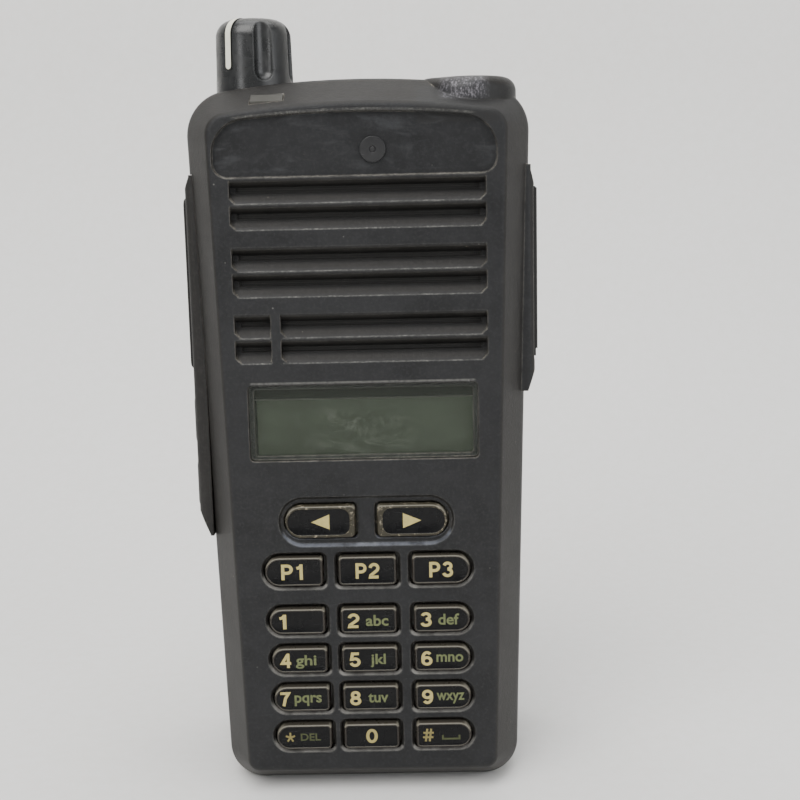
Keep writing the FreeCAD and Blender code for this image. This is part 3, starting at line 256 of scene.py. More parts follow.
# The knob's axis, and the white line on it: its direction, lower end and half width.
KNOB_ACROSS, KNOB_DEPTH = -18.7, 15.0
MARK_TURN, MARK_END, MARK_HALF = math.radians(236.0), 132.95, 0.6

# The arrow keys lie above ARROW_ROW, and the lowest row of keys below LOW_ROW.
ARROW_ROW, LOW_ROW = 48.0, 16.5

# Where fingers smear the lens: about its middle, below its top.
SMEAR_ACROSS, SMEAR_TOP = -1.0, 75.0


# ---------------------------------------------------------------- materials


def moulded(name, base, wear_and_painted_highlight, rough, seed, wear=0.6, marks=None):
    """Fine-textured moulded plastic: grain, cloudy colour, pale edges that are partly wear and partly a
    painted highlight strongest where they face up, dust, specks and scratches. marks may add wear, painted
    highlights and painted shade that belong to certain places on the part."""
    s = Shade(name)
    clouds = s.noise(16.0, 3.0, 0.55, seed=seed)
    small = s.noise(2.2, 3.0, 0.6, seed=seed + 2.0)
    fine = s.noise(0.55, 2.0, 0.6, seed=seed + 4.0)
    colour = s.blend(s.step(clouds, 0.3, 0.7), base, scaled(base, 1.5))
    colour = s.blend(s.step(small, 0.35, 0.75, 0.0, 0.4), colour, scaled(base, 2.2))
    colour = s.blend(s.step(fine, 0.45, 0.75, 0.0, 0.5), colour, scaled(base, 2.6))
    soft = s.soft_normal(0.45)
    _, _, up = s.facing()
    # Pale edges: partly wear, partly a painted highlight that grows where the edge faces up.
    painted_light = s.product(
        s.step(s.edges(soft), 0.01, 0.14),
        s.step(small, 0.3, 0.62, 0.3, 1.0),
        s.step(fine, 0.3, 0.65, 0.35, 1.0),
        s.step(up, -0.2, 0.55, 0.3, 1.0),
        wear,
    )
    colour = s.blend(painted_light, colour, wear_and_painted_highlight)
    drawn = s.scratches(0.5, (0.12, 1.0, 1.0), 0.64, 0.70, seed)
    drawn = s.sum("MAXIMUM", drawn, s.scratches(0.45, (1.0, 1.0, 0.1), 0.66, 0.72, seed + 9.0))
    colour = s.blend(s.product(drawn, 0.45), colour, scaled(base, 2.6))
    dust = s.sum("MAXIMUM", s.specks(3.1, 0.16, 0.06), s.specks(1.3, 0.05, 0.10))
    colour = s.blend(s.product(dust, 0.35), colour, tint(150, 146, 138))
    pores, _ = s.cells(0.28)
    height = s.sum("ADD", pores, s.product(small, 1.4))
    height = s.sum("SUBTRACT", height, s.product(drawn, 0.8))
    shine = s.sum("ADD", rough, s.product(s.sum("SUBTRACT", clouds, 0.5), 0.25))
    shine = s.sum("SUBTRACT", shine, s.product(painted_light, 0.18), clamp=True)
    if marks:
        colour, shine = marks(s, colour, shine, fine, small)
    return s.finish(colour, shine, s.bump(height, 0.025, soft), specular=0.24)


def housing_marks_and_painted_light(s, colour, shine, fine, small):
    """Everything on the housing that belongs to one place, painted light and shade among it; returns its
    colour and roughness.
    """
    x, y, z = s.axes()
    depth = s.sum("SUBTRACT", y, FRONT / MM)
    _, out, up = s.facing()
    flat = s.step(out, -0.80, -0.95)
    # Painted light: the sloping sides are tinted darker and warmer, and the front cooler.
    painted_warm_sides = s.blend(1.0, colour, (1.0, 0.93, 0.86), "MULTIPLY")
    painted_cool_front = s.blend(1.0, colour, (0.97, 0.99, 1.05), "MULTIPLY")
    colour = s.blend(flat, painted_warm_sides, painted_cool_front)
    colour, shine = boss_marks(s, colour, shine, x, depth, z)
    colour, shine = panel_marks(s, colour, shine, flat, depth, z)
    # A painted highlight along the upper edge of the display window, broken by noise.
    line = s.product(
        s.between(z, *WINDOW_HIGHLIGHT_UP, 0.18),
        s.between(x, *WINDOW_HIGHLIGHT_ACROSS, 0.8),
        s.step(fine, 0.3, 0.6, 0.4, 1.0),
    )
    colour = s.blend(s.product(line, 0.3), colour, tint(140, 139, 134))
    colour = opening_painted_highlights(s, colour, x, depth, z, up, small)
    colour = louvre_painted_light(s, colour, x, depth, z)
    # Painted light bounced up from the floor onto the down-facing bevel at the foot.
    floor_bounce_light = s.product(s.step(z, 4.0, 1.6), s.step(up, -0.15, -0.5))
    colour = s.blend(s.product(floor_bounce_light, 0.55), colour, tint(84, 83, 80))
    return colour, shine


def boss_marks(s, colour, shine, x, depth, z):
    """A quiet antenna boss, scuffed pale along its upper front."""
    boss = s.product(
        s.between(x, *BOSS_ACROSS, 1.0),
        s.between(z, *BOSS_UP, 0.6),
        s.step(depth, 9.0, 7.0),
    )
    colour = s.blend(s.product(boss, 0.85), colour, tint(34, 34, 34))
    scuff = s.product(
        s.between(x, *SCUFF_ACROSS, 2.2),
        s.between(z, *SCUFF_UP, 0.8),
        s.step(depth, 8.0, 6.0),
    )
    speckle = s.step(s.noise(0.32, 3.0, 0.7, (1.0, 1.0, 0.6), seed=21.0), 0.46, 0.68)
    colour = s.blend(s.product(scuff, 0.3), colour, tint(80, 79, 83))
    colour = s.blend(s.product(scuff, speckle, 0.5), colour, tint(146, 143, 149))
    return colour, s.sum("SUBTRACT", shine, s.product(scuff, 0.16), clamp=True)


def panel_marks(s, colour, shine, flat, depth, z):
    """The smooth upper panel, smeared by fingers."""
    panel = s.product(s.between(z, *PANEL_UP, 0.8), flat, s.step(depth, 0.4, 0.7))
    smear = s.noise(3.4, 4.0, 0.6, (0.45, 1.0, 1.3), 0.8, 31.0)
    smear = s.product(s.step(smear, 0.50, 0.72), panel)
    colour = s.blend(s.product(smear, 0.2), colour, tint(84, 86, 89))
    return colour, s.sum("SUBTRACT", shine, s.product(panel, 0.12), clamp=True)


def opening_painted_highlights(s, colour, x, depth, z, up, small):
    """Painted highlights on edges that face up: a bluish sheen below the arrow keys and a thin warmish one
    round every opening.
    """
    # Painted highlight: a bluish sheen on the lip below the arrow keys, where it faces up.
    arrow_lip_highlight = s.product(
        s.between(z, *ARROW_LIP_UP, 0.3),
        s.between(x, *ARROW_LIP_ACROSS, 1.0),
        s.step(up, 0.15, 0.5),
        s.step(small, 0.3, 0.6, 0.3, 0.8),
    )
    colour = s.blend(arrow_lip_highlight, colour, tint(112, 116, 126))
    # Painted highlight: a thin line on the lower lips of the key openings, where they face up.
    opening_highlight = s.product(
        s.between(z, *OPENINGS_UP, 0.3),
        s.between(x, *OPENINGS_ACROSS, 0.5),
        s.step(depth, 0.6, 0.4),
        s.step(up, 0.10, 0.40),
        s.step(small, 0.3, 0.65, 0.4, 1.0),
    )
    return s.blend(opening_highlight, colour, tint(126, 124, 120))


def louvre_painted_light(s, colour, x, depth, z):
    """Painted highlights, speckled like wear, on the edges below the louvres and above the panel, and
    painted shade inside each slot.
    """
    # Patches and speckles that break up the painted highlights below, like wear.
    patches = s.step(s.noise(3.2, 2.0, 0.6, seed=43.0), 0.35, 0.65, 0.35, 1.0)
    wear_and_painted_highlight = s.step(s.noise(0.3, 3.0, 0.75, (0.8, 1.0, 1.0), seed=41.0), 0.44, 0.66, 0.2, 1.0)
    wear_and_painted_highlight = s.product(wear_and_painted_highlight, patches)
    row = s.sum("FLOORED_MODULO", s.sum("SUBTRACT", z, LOWEST_LIP - 1.0), LOUVRE_PAIR)
    low, high = LIP_BAND
    lower = s.between(row, low, high, 0.15)
    upper = s.between(row, low + LOUVRE_STEP, high + LOUVRE_STEP, 0.15)
    post = s.product(s.between(x, *POST_ACROSS, 0.2), s.step(z, POST_TOP, POST_TOP - 1.0))
    # Painted highlight, speckled like wear, on the lip below each louvre.
    lip_highlight = s.product(
        s.sum("MAXIMUM", lower, upper),
        s.between(z, *GRILLE_UP, 0.3),
        s.between(x, *GRILLE_ACROSS, 0.8),
        s.sum("SUBTRACT", 1.0, post),
        s.step(depth, 0.6, 0.3),
        wear_and_painted_highlight,
    )
    colour = s.blend(s.product(lip_highlight, 0.5), colour, tint(140, 139, 134))
    # Painted shade: the slots are darkened inside.
    slot_shade = s.product(
        s.between(z, *SLOTS_UP, 0.3),
        s.between(x, *SLOTS_ACROSS, 0.3),
        s.between(depth, *SLOTS_DEPTH, 0.6),
    )
    colour = s.blend(s.product(slot_shade, 0.92), colour, tint(10, 10, 10))
    # Painted highlight, speckled like wear, on the lip above the panel.
    above = s.sum("ADD", s.sum("SUBTRACT", z, CROWN_TOP), s.product(x, x, CROWN_FALL))
    crown_highlight = s.product(
        s.between(above, 0.0, 0.6, 0.2),
        s.between(x, *CROWN_ACROSS, 2.0),
        s.step(depth, 1.4, 1.0),
        wear_and_painted_highlight,
    )
    return s.blend(s.product(crown_highlight, 0.35), colour, tint(140, 139, 133))


def glossy(name, base, rough, radius, scuff, seed, specular, rim=None):
    """Smooth glossy plastic with fine scuffs and a greasy bloom; a rim colour paints a highlight along its
    edges.
    """
    s = Shade(name)
    bloom = s.noise(3.5, 3.0, 0.6, seed=seed)
    drawn = s.scratches(0.35, (0.15, 1.0, 1.0), 0.60, 0.68, seed)
    drawn = s.sum("MAXIMUM", drawn, s.scratches(0.3, (1.0, 1.0, 0.15), 0.62, 0.70, seed + 3.0))
    colour = s.blend(s.step(bloom, 0.35, 0.75, 0.0, 0.5), base, scaled(base, 1.5, 0.002))
    colour = s.blend(s.product(drawn, scuff), colour, scaled(base, 3.0, 0.02))
    shine = s.sum("ADD", rough, s.step(bloom, 0.4, 0.7, 0.0, 0.16))
    shine = s.sum("ADD", shine, s.product(drawn, 0.3), clamp=True)
    height = s.sum("SUBTRACT", s.product(bloom, 0.5), drawn)
    soft = s.soft_normal(radius) if radius else None
    if rim:
        # Painted highlight along the edges, broken by the bloom.
        painted_light = s.product(s.step(s.edges(soft), 0.01, 0.12), s.step(bloom, 0.3, 0.6, 0.3, 0.8))
        colour = s.blend(painted_light, colour, rim)
    return s.finish(colour, shine, s.bump(height, 0.006, soft), specular=specular)


def key_rim():
    """The clear amber rim of a key, with a painted highlight along its upper edge, and chips where fingers
    rub it.
    """
    s = Shade("key_rim")
    _, _, up = s.facing(0.12)
    _, _, z = s.axes()
    bloom = s.noise(1.6, 3.0, 0.6, seed=3.0)
    chips = s.step(s.noise(0.8, 3.0, 0.7, seed=6.0), 0.56, 0.64)
    arrows = s.step(z, ARROW_ROW, ARROW_ROW + 0.4)
    # Painted highlight where the rim faces up.
    top = s.product(s.step(up, 0.12, 0.45), s.step(up, 0.98, 0.80, 0.15, 1.0))
    colour = s.blend(arrows, tint(44, 40, 35), tint(47, 43, 30))
    colour = s.blend(s.step(bloom, 0.35, 0.7, 0.0, 0.5), colour, tint(34, 30, 26))
    colour = s.blend(s.product(top, 0.8), colour, tint(122, 118, 106))
    colour = s.blend(s.product(chips, arrows, 0.45), colour, tint(176, 166, 144))
    shine = s.step(bloom, 0.3, 0.7, 0.25, 0.42)
    return s.finish(colour, shine, s.bump(bloom, 0.01, s.soft_normal(0.12)), specular=0.35)


def rubbery(name, base, seed):
    """Matte rubber with a faint bloom and lint."""
    s = Shade(name)
    bloom = s.noise(6.0, 4.0, 0.6, seed=seed)
    lint = s.specks(2.2, 0.12, 0.07)
    colour = s.blend(s.step(bloom, 0.35, 0.7), base, scaled(base, 1.6))
    colour = s.blend(s.product(lint, 0.4), colour, tint(140, 136, 128))
    grain = s.noise(0.2, 2.0, 0.5, seed=seed)
    shine = s.step(bloom, 0.3, 0.7, 0.55, 0.75)
    return s.finish(colour, shine, s.bump(grain, 0.02, s.soft_normal(0.35)), specular=0.24)


def metal(name, base, rough, seed):
    """Bare or plated metal with a fine grain and slight tarnish."""
    s = Shade(name)
    grain = s.noise(0.25, 3.0, 0.6, seed=seed)
    tarnish = s.noise(3.0, 3.0, 0.6, seed=seed + 1.0)
    colour = s.blend(s.step(tarnish, 0.4, 0.75, 0.0, 0.6), base, scaled(base, 0.62))
    shine = s.sum("ADD", rough, s.step(tarnish, 0.35, 0.7, 0.0, 0.2))
    return s.finish(colour, shine, s.bump(grain, 0.01, s.soft_normal(0.1)), metal=1.0)


def printed(name, base, wear, seed):
    """Screen-printed ink, slightly patchy, and darkened by painted shade on the lowest row of keys, most
    towards the sides.
    """
    s = Shade(name)
    x, _, z = s.axes()
    patchy = s.noise(0.5, 3.0, 0.65, seed=seed)
    aside = s.sum("ABSOLUTE", x)
    # Painted shade: darker on the lowest row of keys, more so away from the middle.
    painted_light = s.product(s.step(z, LOW_ROW, LOW_ROW - 4.5), s.step(aside, 3.0, 9.0, 0.25, 0.6))
    colour = s.blend(s.step(patchy, 0.35, 0.75, 0.0, wear), base, scaled(base, 0.4))
    colour = s.blend(painted_light, colour, scaled(base, 0.12))
    return s.finish(colour, s.step(patchy, 0.3, 0.7, 0.35, 0.55), s.bump(patchy, 0.004), specular=0.2)


def painted_line():
    """The white line on the knob, its lower end rounded, on a black strip."""
    s = Shade("mark_white")
    x, y, z = s.axes()
    off_x = s.sum("SUBTRACT", x, KNOB_ACROSS)
    off_y = s.sum("SUBTRACT", y, FRONT / MM + KNOB_DEPTH)
    aside = s.sum("SUBTRACT", s.product(off_y, math.cos(MARK_TURN)), s.product(off_x, math.sin(MARK_TURN)))
    below = s.sum("MINIMUM", s.sum("SUBTRACT", z, MARK_END), 0.0)
    far = s.sum("SQRT", s.sum("ADD", s.product(aside, aside), s.product(below, below)))
    patchy = s.noise(0.5, 3.0, 0.65, seed=3.0)
    white = s.blend(s.step(patchy, 0.4, 0.8, 0.0, 0.15), tint(226, 224, 206), tint(150, 148, 138))
    colour = s.blend(s.step(far, MARK_HALF + 0.04, MARK_HALF - 0.04), tint(24, 25, 25), white)
    return s.finish(colour, s.step(patchy, 0.3, 0.7, 0.35, 0.5), s.bump(patchy, 0.004), specular=0.3)


def display_face():
    """The reflective liquid crystal face: green grey, faint dot rows and clouded smudges."""
    s = Shade("lcd_green")
    x, _, z = s.axes()
    haze = s.noise(7.0, 4.0, 0.65, (1.0, 1.0, 1.4), 0.6, 3.0)
    colour = s.blend(s.step(haze, 0.35, 0.75), tint(50, 57, 46), tint(61, 68, 57))
    rows = s.sum("PINGPONG", x, 0.3)
    lines = s.sum("PINGPONG", z, 0.3)
    gaps = s.sum("SUBTRACT", 1.0, s.product(s.step(rows, 0.04, 0.08), s.step(lines, 0.04, 0.08)))
    colour = s.blend(s.product(gaps, 0.04), colour, tint(40, 46, 36))
    return s.finish(colour, s.step(haze, 0.3, 0.7, 0.45, 0.6), s.bump(haze, 0.002), specular=0.1)


def lens_clear():
    """The clear lens, thinly hazed by rubbing and finger marks."""
    s = Shade("lens_clear")
    x, _, z = s.axes()
    haze = s.noise(5.0, 5.0, 0.7, (0.8, 1.0, 1.3), 1.2, 8.0)
    aside = s.sum("ABSOLUTE", s.sum("SUBTRACT", x, SMEAR_ACROSS))
    middle = s.product(s.step(aside, 14.0, 2.0), s.step(z, SMEAR_TOP, SMEAR_TOP - 5.0))
    smear = s.product(s.step(haze, 0.42, 0.72), s.sum("ADD", 0.12, middle))
    fine = s.scratches(0.4, (0.1, 1.0, 1.0), 0.62, 0.68, 4.0)
    alpha = s.sum("ADD", 0.10, s.product(smear, 0.35))
    alpha = s.sum("ADD", alpha, s.product(fine, 0.12), clamp=True)
    rough = s.step(haze, 0.35, 0.7, 0.06, 0.3)
    return s.finish(tint(84, 89, 80), rough, alpha=alpha, specular=0.3)


def cloth():
    """Fine woven speaker cloth."""
    s = Shade("speaker_cloth")
    x, _, z = s.axes()
    warp = s.sum("PINGPONG", x, 0.18)
    weft = s.sum("PINGPONG", z, 0.18)
    weave = s.sum("MAXIMUM", warp, weft)
    colour = s.blend(s.step(weave, 0.08, 0.17), tint(22, 22, 22), tint(44, 43, 41))
    return s.finish(colour, 0.9, s.bump(weave, 0.2))


def circuit():
    """Solder-masked board with pale tracks."""
    s = Shade("circuit")
    x, _, z = s.axes()
    upright = s.step(s.sum("PINGPONG", x, 1.1), 0.10, 0.16, 1.0, 0.0)
    level = s.step(s.sum("PINGPONG", z, 1.7), 0.10, 0.16, 1.0, 0.0)
    tracks = s.sum("MAXIMUM", upright, level)
    broken = s.step(s.noise(4.0, 1.0), 0.45, 0.5)
    colour = s.blend(s.product(tracks, broken), tint(20, 70, 38), tint(52, 110, 62))
    return s.finish(colour, 0.32, s.bump(tracks, 0.02))


def wrapped():
    """Heat-shrink film on the cells."""
    s = Shade("cell_wrap")
    crease = s.noise(5.0, 4.0, 0.6, (1.0, 1.0, 0.3))
    colour = s.blend(s.step(crease, 0.3, 0.7), tint(30, 70, 120), tint(44, 92, 150))
    return s.finish(colour, 0.28, s.bump(crease, 0.15))


def label_film():
    """A blank satin label with cloudy rubbing and fine scratches."""
    s = Shade("label_film")
    rub = s.noise(6.0, 4.0, 0.6)
    fine = s.scratches(0.4, (1.0, 1.0, 0.1), 0.58, 0.66, 2.0)
    colour = s.blend(s.step(rub, 0.3, 0.75), tint(78, 79, 79), tint(92, 93, 92))
    colour = s.blend(s.product(fine, 0.5), colour, tint(130, 130, 128))
    return s.finish(colour, s.step(rub, 0.3, 0.7, 0.3, 0.45), s.bump(fine, 0.004), specular=0.4)


# The pale second colour is for edges that are partly worn and partly carry a painted highlight.
HOUSING = moulded(
    "housing_plastic", tint(26, 26, 26), tint(150, 149, 142), 0.48, 1.0, 0.8, housing_marks_and_painted_light
)
TRIM = moulded("side_plastic", tint(27, 26, 25), tint(104, 101, 95), 0.50, 4.0)
CASE = moulded("battery_plastic", tint(25, 25, 26), tint(96, 96, 93), 0.52, 7.0)
CLIP = moulded("clip_plastic", tint(22, 22, 23), tint(100, 100, 97), 0.42, 11.0)
HOLDER = moulded("holder_plastic", tint(20, 20, 20), tint(50, 50, 50), 0.6, 13.0)
RUBBER = rubbery("side_rubber", tint(24, 23, 22), 2.0)
SILICONE = rubbery("seal_rubber", tint(60, 60, 60), 5.0)
# The knob's last colour paints a highlight along its edges.
KNOB = glossy("knob_black", tint(22, 23, 23), 0.26, 0.4, 0.12, 2.0, 0.6, tint(70, 71, 70))
KEY_FACE = glossy("key_face", tint(11, 11, 12), 0.24, 0.1, 0.5, 5.0, 0.17)
KEY_RIM = key_rim()
BADGE = glossy("badge_black", tint(33, 33, 34), 0.35, 0.15, 0.5, 9.0, 0.35)
CREAM = printed("ink_cream", tint(178, 164, 106), 0.3, 1.0)
GREEN = printed("ink_green", tint(100, 106, 72), 0.4, 2.0)
MARK = painted_line()
STEEL = metal("steel", tint(178, 178, 176), 0.28, 1.0)
GOLD = metal("gold_plate", tint(214, 176, 96), 0.25, 2.0)
NICKEL = metal("nickel_plate", tint(196, 190, 176), 0.24, 3.0)
ALLOY = metal("cast_alloy", tint(158, 160, 162), 0.42, 4.0)
FRAME_METAL = metal("speaker_metal", tint(120, 120, 122), 0.4, 6.0)
LCD = display_face()
LENS = lens_clear()
CLOTH = cloth()
CIRCUIT = circuit()
WRAP = wrapped()
LABEL = label_film()
LIGHT = glossy("light_window", tint(66, 65, 61), 0.35, 0.2, 0.3, 6.0, 0.25)
FILM_EDGE = printed("film_edge", tint(84, 84, 80), 0.3, 7.0)
MASK = glossy("lcd_mask", tint(16, 18, 16), 0.5, 0.0, 0.1, 3.0, 0.1)

SLOT_LOOKS = {
    "housing": HOUSING,
    "side_rubber": RUBBER,
    "side_trim": TRIM,
    "key": KEY_FACE,
    "knob": KNOB,
    "mark": MARK,
    "lens": LENS,
    "lcd": MASK,
    "holder": HOLDER,
    "cloth": CLOTH,
    "speaker_metal": FRAME_METAL,
    "cone": HOLDER,
    "silicone": SILICONE,
    "circuit": CIRCUIT,
    "dome": STEEL,
    "steel": STEEL,
    "alloy": ALLOY,
    "gold": GOLD,
    "light": LIGHT,
    "badge": BADGE,
    "battery_case": CASE,
    "cell": WRAP,
    "clip_plastic": CLIP,
    "contact_block": HOLDER,
}

for entry in frame["record"]["subparts"]:
    node = NODES[entry["node"]]
    node.data.materials.clear()
    node.data.materials.append(SLOT_LOOKS[entry["material_slot"]])


# ---------------------------------------------------------------- mesh helpers


SHARP_ANGLE = math.radians(35.0)


def piece(name, mesh_builder, materials, body):
    """Turns a bmesh into a piece that rides on a body."""
    mesh = bpy.data.meshes.new(name)
    mesh_builder.to_mesh(mesh)
    mesh_builder.free()
    for polygon in mesh.polygons:
        polygon.use_smooth = True
    mesh.set_sharp_from_angle(angle=SHARP_ANGLE)
    for material in materials:
        mesh.materials.append(material)
    made = bpy.data.objects.new(name, mesh)
    bpy.context.scene.collection.objects.link(made)
    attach(made, body)
    return made


def loft(builder, rings):
    """Skins a list of closed rings of equal point counts; returns the bands of faces and the end caps."""
    made = [[builder.verts.new(point) for point in ring] for ring in rings]
    bands = []
    for lower, upper in zip(made, made[1:]):
        count = len(lower)
        band = []
        for i in range(count):
            after = (i + 1) % count
            band.append(builder.faces.new((lower[i], lower[after], upper[after], upper[i])))
        bands.append(band)
    caps = [builder.faces.new(made[0][::-1]), builder.faces.new(made[-1])]
    bmesh.ops.recalc_face_normals(builder, faces=builder.faces)
    return bands, caps


def rounded(wide, tall, left, right, inset, steps=6):
    """Points (across, up) of a rounded outline about its centre, counter-clockwise."""
    points = []
    corners = [(-1, -1, left, 180), (1, -1, right, 270), (1, 1, right, 0), (-1, 1, left, 90)]
    for side, level, radius, start in corners:
        turn = max(radius - inset, 0.12)
        across = side * (wide / 2 - inset - turn)
        up = level * (tall / 2 - inset - turn)
        for index in range(steps + 1):
            angle = math.radians(start + 90.0 * index / steps)
            points.append((across + turn * math.cos(angle), up + turn * math.sin(angle)))
    return points


def plate(name, place, size, corner, layers, material, body, steps=6):
    """A thin upright plate with rounded corners. place is its middle in millimetres, and layers are its
    outlines from back to front or front to back: (inset, y from the place)."""
    across, face, up = place
    rings = []
    for inset, lift in layers:
        outline = rounded(*size, corner, corner, inset, steps)
        rings.append([((across + x) * MM, (face + lift) * MM, (up + z) * MM) for x, z in outline])
    builder = bmesh.new()
    loft(builder, rings)
    return piece(name, builder, [material], body)


# ---------------------------------------------------------------- keys and their legends


ARROWS = {"key_left": -1, "key_right": 1}
ROUND_LEFT = {"key_left", "key_p1", "key_1", "key_4", "key_7", "key_star"}
ROUND_RIGHT = {"key_right", "key_p3", "key_3", "key_6", "key_9", "key_hash"}
KEY_FLANGE = 0.8
KEY_CORNER = 0.9
ROUND_END = 0.49

# Inset from the key's outline and depth behind its front, from the back of the flange forward.
KEY_SECTION = [
    (-0.8, 3.9),
    (-0.8, 3.05),
    (0.0, 3.0),
    (0.0, 0.55),
    (0.03, 0.34),
    (0.10, 0.16),
    (0.21, 0.05),
    (0.33, 0.03),
    (0.42, 0.07),
    (0.47, 0.20),
    (0.56, 0.24),
]
RIM_BANDS = 8
# The arrow keys show more of their clear rim at the end where they face each other. It widens between
# these insets, and the black face's corners grow with it.
ARROW_RIM = 0.3
ARROW_RIM_START, ARROW_RIM_REACH = 0.25, 0.15
ARROW_CORNER_GAIN = 3.5


def key_cap(name):
    """A key cap with a translucent rim round a sunken black face; returns its centre and face depth."""
    low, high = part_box(name)
    centre = (low + high) / 2
    wide = (high.x - low.x) / MM - 2 * KEY_FLANGE
    tall = (high.z - low.z) / MM - 2 * KEY_FLANGE
    rings = []
    for inset, back in KEY_SECTION:
        share = min(max((inset - ARROW_RIM_START) / ARROW_RIM_REACH, 0), 1)
        extra = ARROW_RIM * share if name in ARROWS else 0.0
        lean = ARROWS.get(name, 0) * extra
        full = ROUND_END * (tall - extra)
        corner = KEY_CORNER + ARROW_CORNER_GAIN * extra
        left = full if name in ROUND_LEFT else corner
        right = full if name in ROUND_RIGHT else corner
        outline = rounded(wide - 2 * extra, tall - extra, left, right, inset)
        y = low.y + back * MM
        rings.append([(centre.x + (x + lean) * MM, y, centre.z + z * MM) for x, z in outline])
    builder = bmesh.new()
    bands, caps = loft(builder, rings)
    for band in bands[RIM_BANDS:]:
        for face in band:
            face.material_index = 1
    caps[-1].material_index = 1
    cap = piece(f"{name}_cap", builder, [KEY_RIM, KEY_FACE], name)
    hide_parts(name)
    return centre, low.y + KEY_SECTION[-1][1] * MM


def lettering(text, tall, embolden):
    """The outline of some characters as a bmesh in millimetres: centred across, standing up in XZ."""
    curve = bpy.data.curves.new("lettering", "FONT")
    curve.body = text
    curve.size = tall
    curve.offset = embolden
    curve.extrude = 0.0
    curve.resolution_u = 4
    holder = bpy.data.objects.new("lettering", curve)
    bpy.context.scene.collection.objects.link(holder)
    bpy.context.view_layer.update()
    mesh = bpy.data.meshes.new_from_object(holder)
    builder = bmesh.new()
    builder.from_mesh(mesh)
    bpy.data.objects.remove(holder)
    bpy.data.curves.remove(curve)
    bpy.data.meshes.remove(mesh)
    return builder


INK_GAP = 0.001
INK_THICK = 0.02
# Strokes that cross lie at slightly different heights, this many millimetres for each unit of level.
INK_LEVEL = 0.005


def place_print(builder, centre, across, up, face_y, wide=None, tall=None):
    """Fits flat artwork to a size, thickens it to an ink film and puts it on a key's face."""
    xs = [v.co.x for v in builder.verts]
    ys = [v.co.y for v in builder.verts]
    middle_x, middle_y = (min(xs) + max(xs)) / 2, (min(ys) + max(ys)) / 2
    scale_y = tall / (max(ys) - min(ys)) if tall else 1.0
    scale_x = wide / (max(xs) - min(xs)) if wide else scale_y
    for vertex in builder.verts:
        x = centre.x + (across + (vertex.co.x - middle_x) * scale_x) * MM
        z = centre.z + (up + (vertex.co.y - middle_y) * scale_y) * MM
        vertex.co = Vector((x, face_y - (INK_GAP + INK_LEVEL * vertex.co.z) * MM, z))
    result = bmesh.ops.extrude_face_region(builder, geom=list(builder.faces))
    for element in result["geom"]:
        if isinstance(element, bmesh.types.BMVert):
            element.co.y -= INK_THICK * MM
    bmesh.ops.recalc_face_normals(builder, faces=builder.faces)


def polygon_art(outlines):
    """Flat artwork from outlines of (across, up) points."""
    builder = bmesh.new()
    for outline in outlines:
        builder.faces.new([builder.verts.new((x, y, 0)) for x, y in outline])
    return builder


def bend(x, y, across, up, start, end, steps=14):
    """Points round part of an ellipse about (x, y), from one angle to another."""
    angles = [math.radians(start + (end - start) * index / steps) for index in range(steps + 1)]
    return [(x + across * math.cos(angle), y + up * math.sin(angle)) for angle in angles]


def star(reach, arms):
    """Lines from the middle of a figure out to the tips of a star, the first one straight up."""
    tips = bend(0.5, 0.5, reach, reach, 90, -270, arms)[:-1]
    return [[(0.5, 0.5), tip] for tip in tips]


# Centre lines of a bold upright figure one unit tall; the pen is a little under a fifth of a unit.
FIGURES = {
    "0": [bend(0.36, 0.5, 0.25, 0.405, 0, 360, 28)],
    "1": [[(0.37, 0.0), (0.37, 1.0)], [(0.10, 0.745), (0.26, 0.775), (0.36, 0.90)]],
    "2": [bend(0.355, 0.675, 0.245, 0.235, 175, -38) + [(0.13, 0.20), (0.11, 0.095), (0.63, 0.095)]],
    "3": [bend(0.34, 0.715, 0.22, 0.195, 165, -90), bend(0.34, 0.305, 0.255, 0.215, 90, -168)],
    "4": [[(0.45, 0.92), (0.08, 0.32), (0.68, 0.32)], [(0.49, 0.0), (0.49, 1.0)]],
    "5": [[(0.60, 0.91), (0.20, 0.91), (0.14, 0.52)] + bend(0.35, 0.325, 0.25, 0.235, 120, -165)],
    "6": [bend(0.36, 0.325, 0.245, 0.235, 0, 360, 22), bend(0.37, 0.50, 0.265, 0.41, 190, 45)],
    "7": [[(0.07, 0.91), (0.61, 0.91), (0.40, 0.55), (0.28, 0.0)]],
    "8": [bend(0.36, 0.715, 0.205, 0.19, 0, 360, 20), bend(0.36, 0.30, 0.25, 0.205, 0, 360, 22)],
    "9": [bend(0.36, 0.675, 0.245, 0.235, 0, 360, 22), bend(0.35, 0.50, 0.265, 0.41, 10, -135)],
    "P": [[(0.10, 0.0), (0.10, 1.0)], [(0.10, 0.91), (0.36, 0.91)] + bend(0.36, 0.675, 0.25, 0.235, 90, -90)
          + [(0.10, 0.44)]],
    "*": star(0.45, 5),
    "#": [[(0.22, 0.0), (0.34, 1.0)], [(0.50, 0.0), (0.62, 1.0)], [(0.05, 0.68), (0.80, 0.68)],
          [(0.02, 0.33), (0.77, 0.33)]],
}
ADVANCE = 0.83
PENS = {"*": 0.17, "#": 0.15}
PEN = 0.19


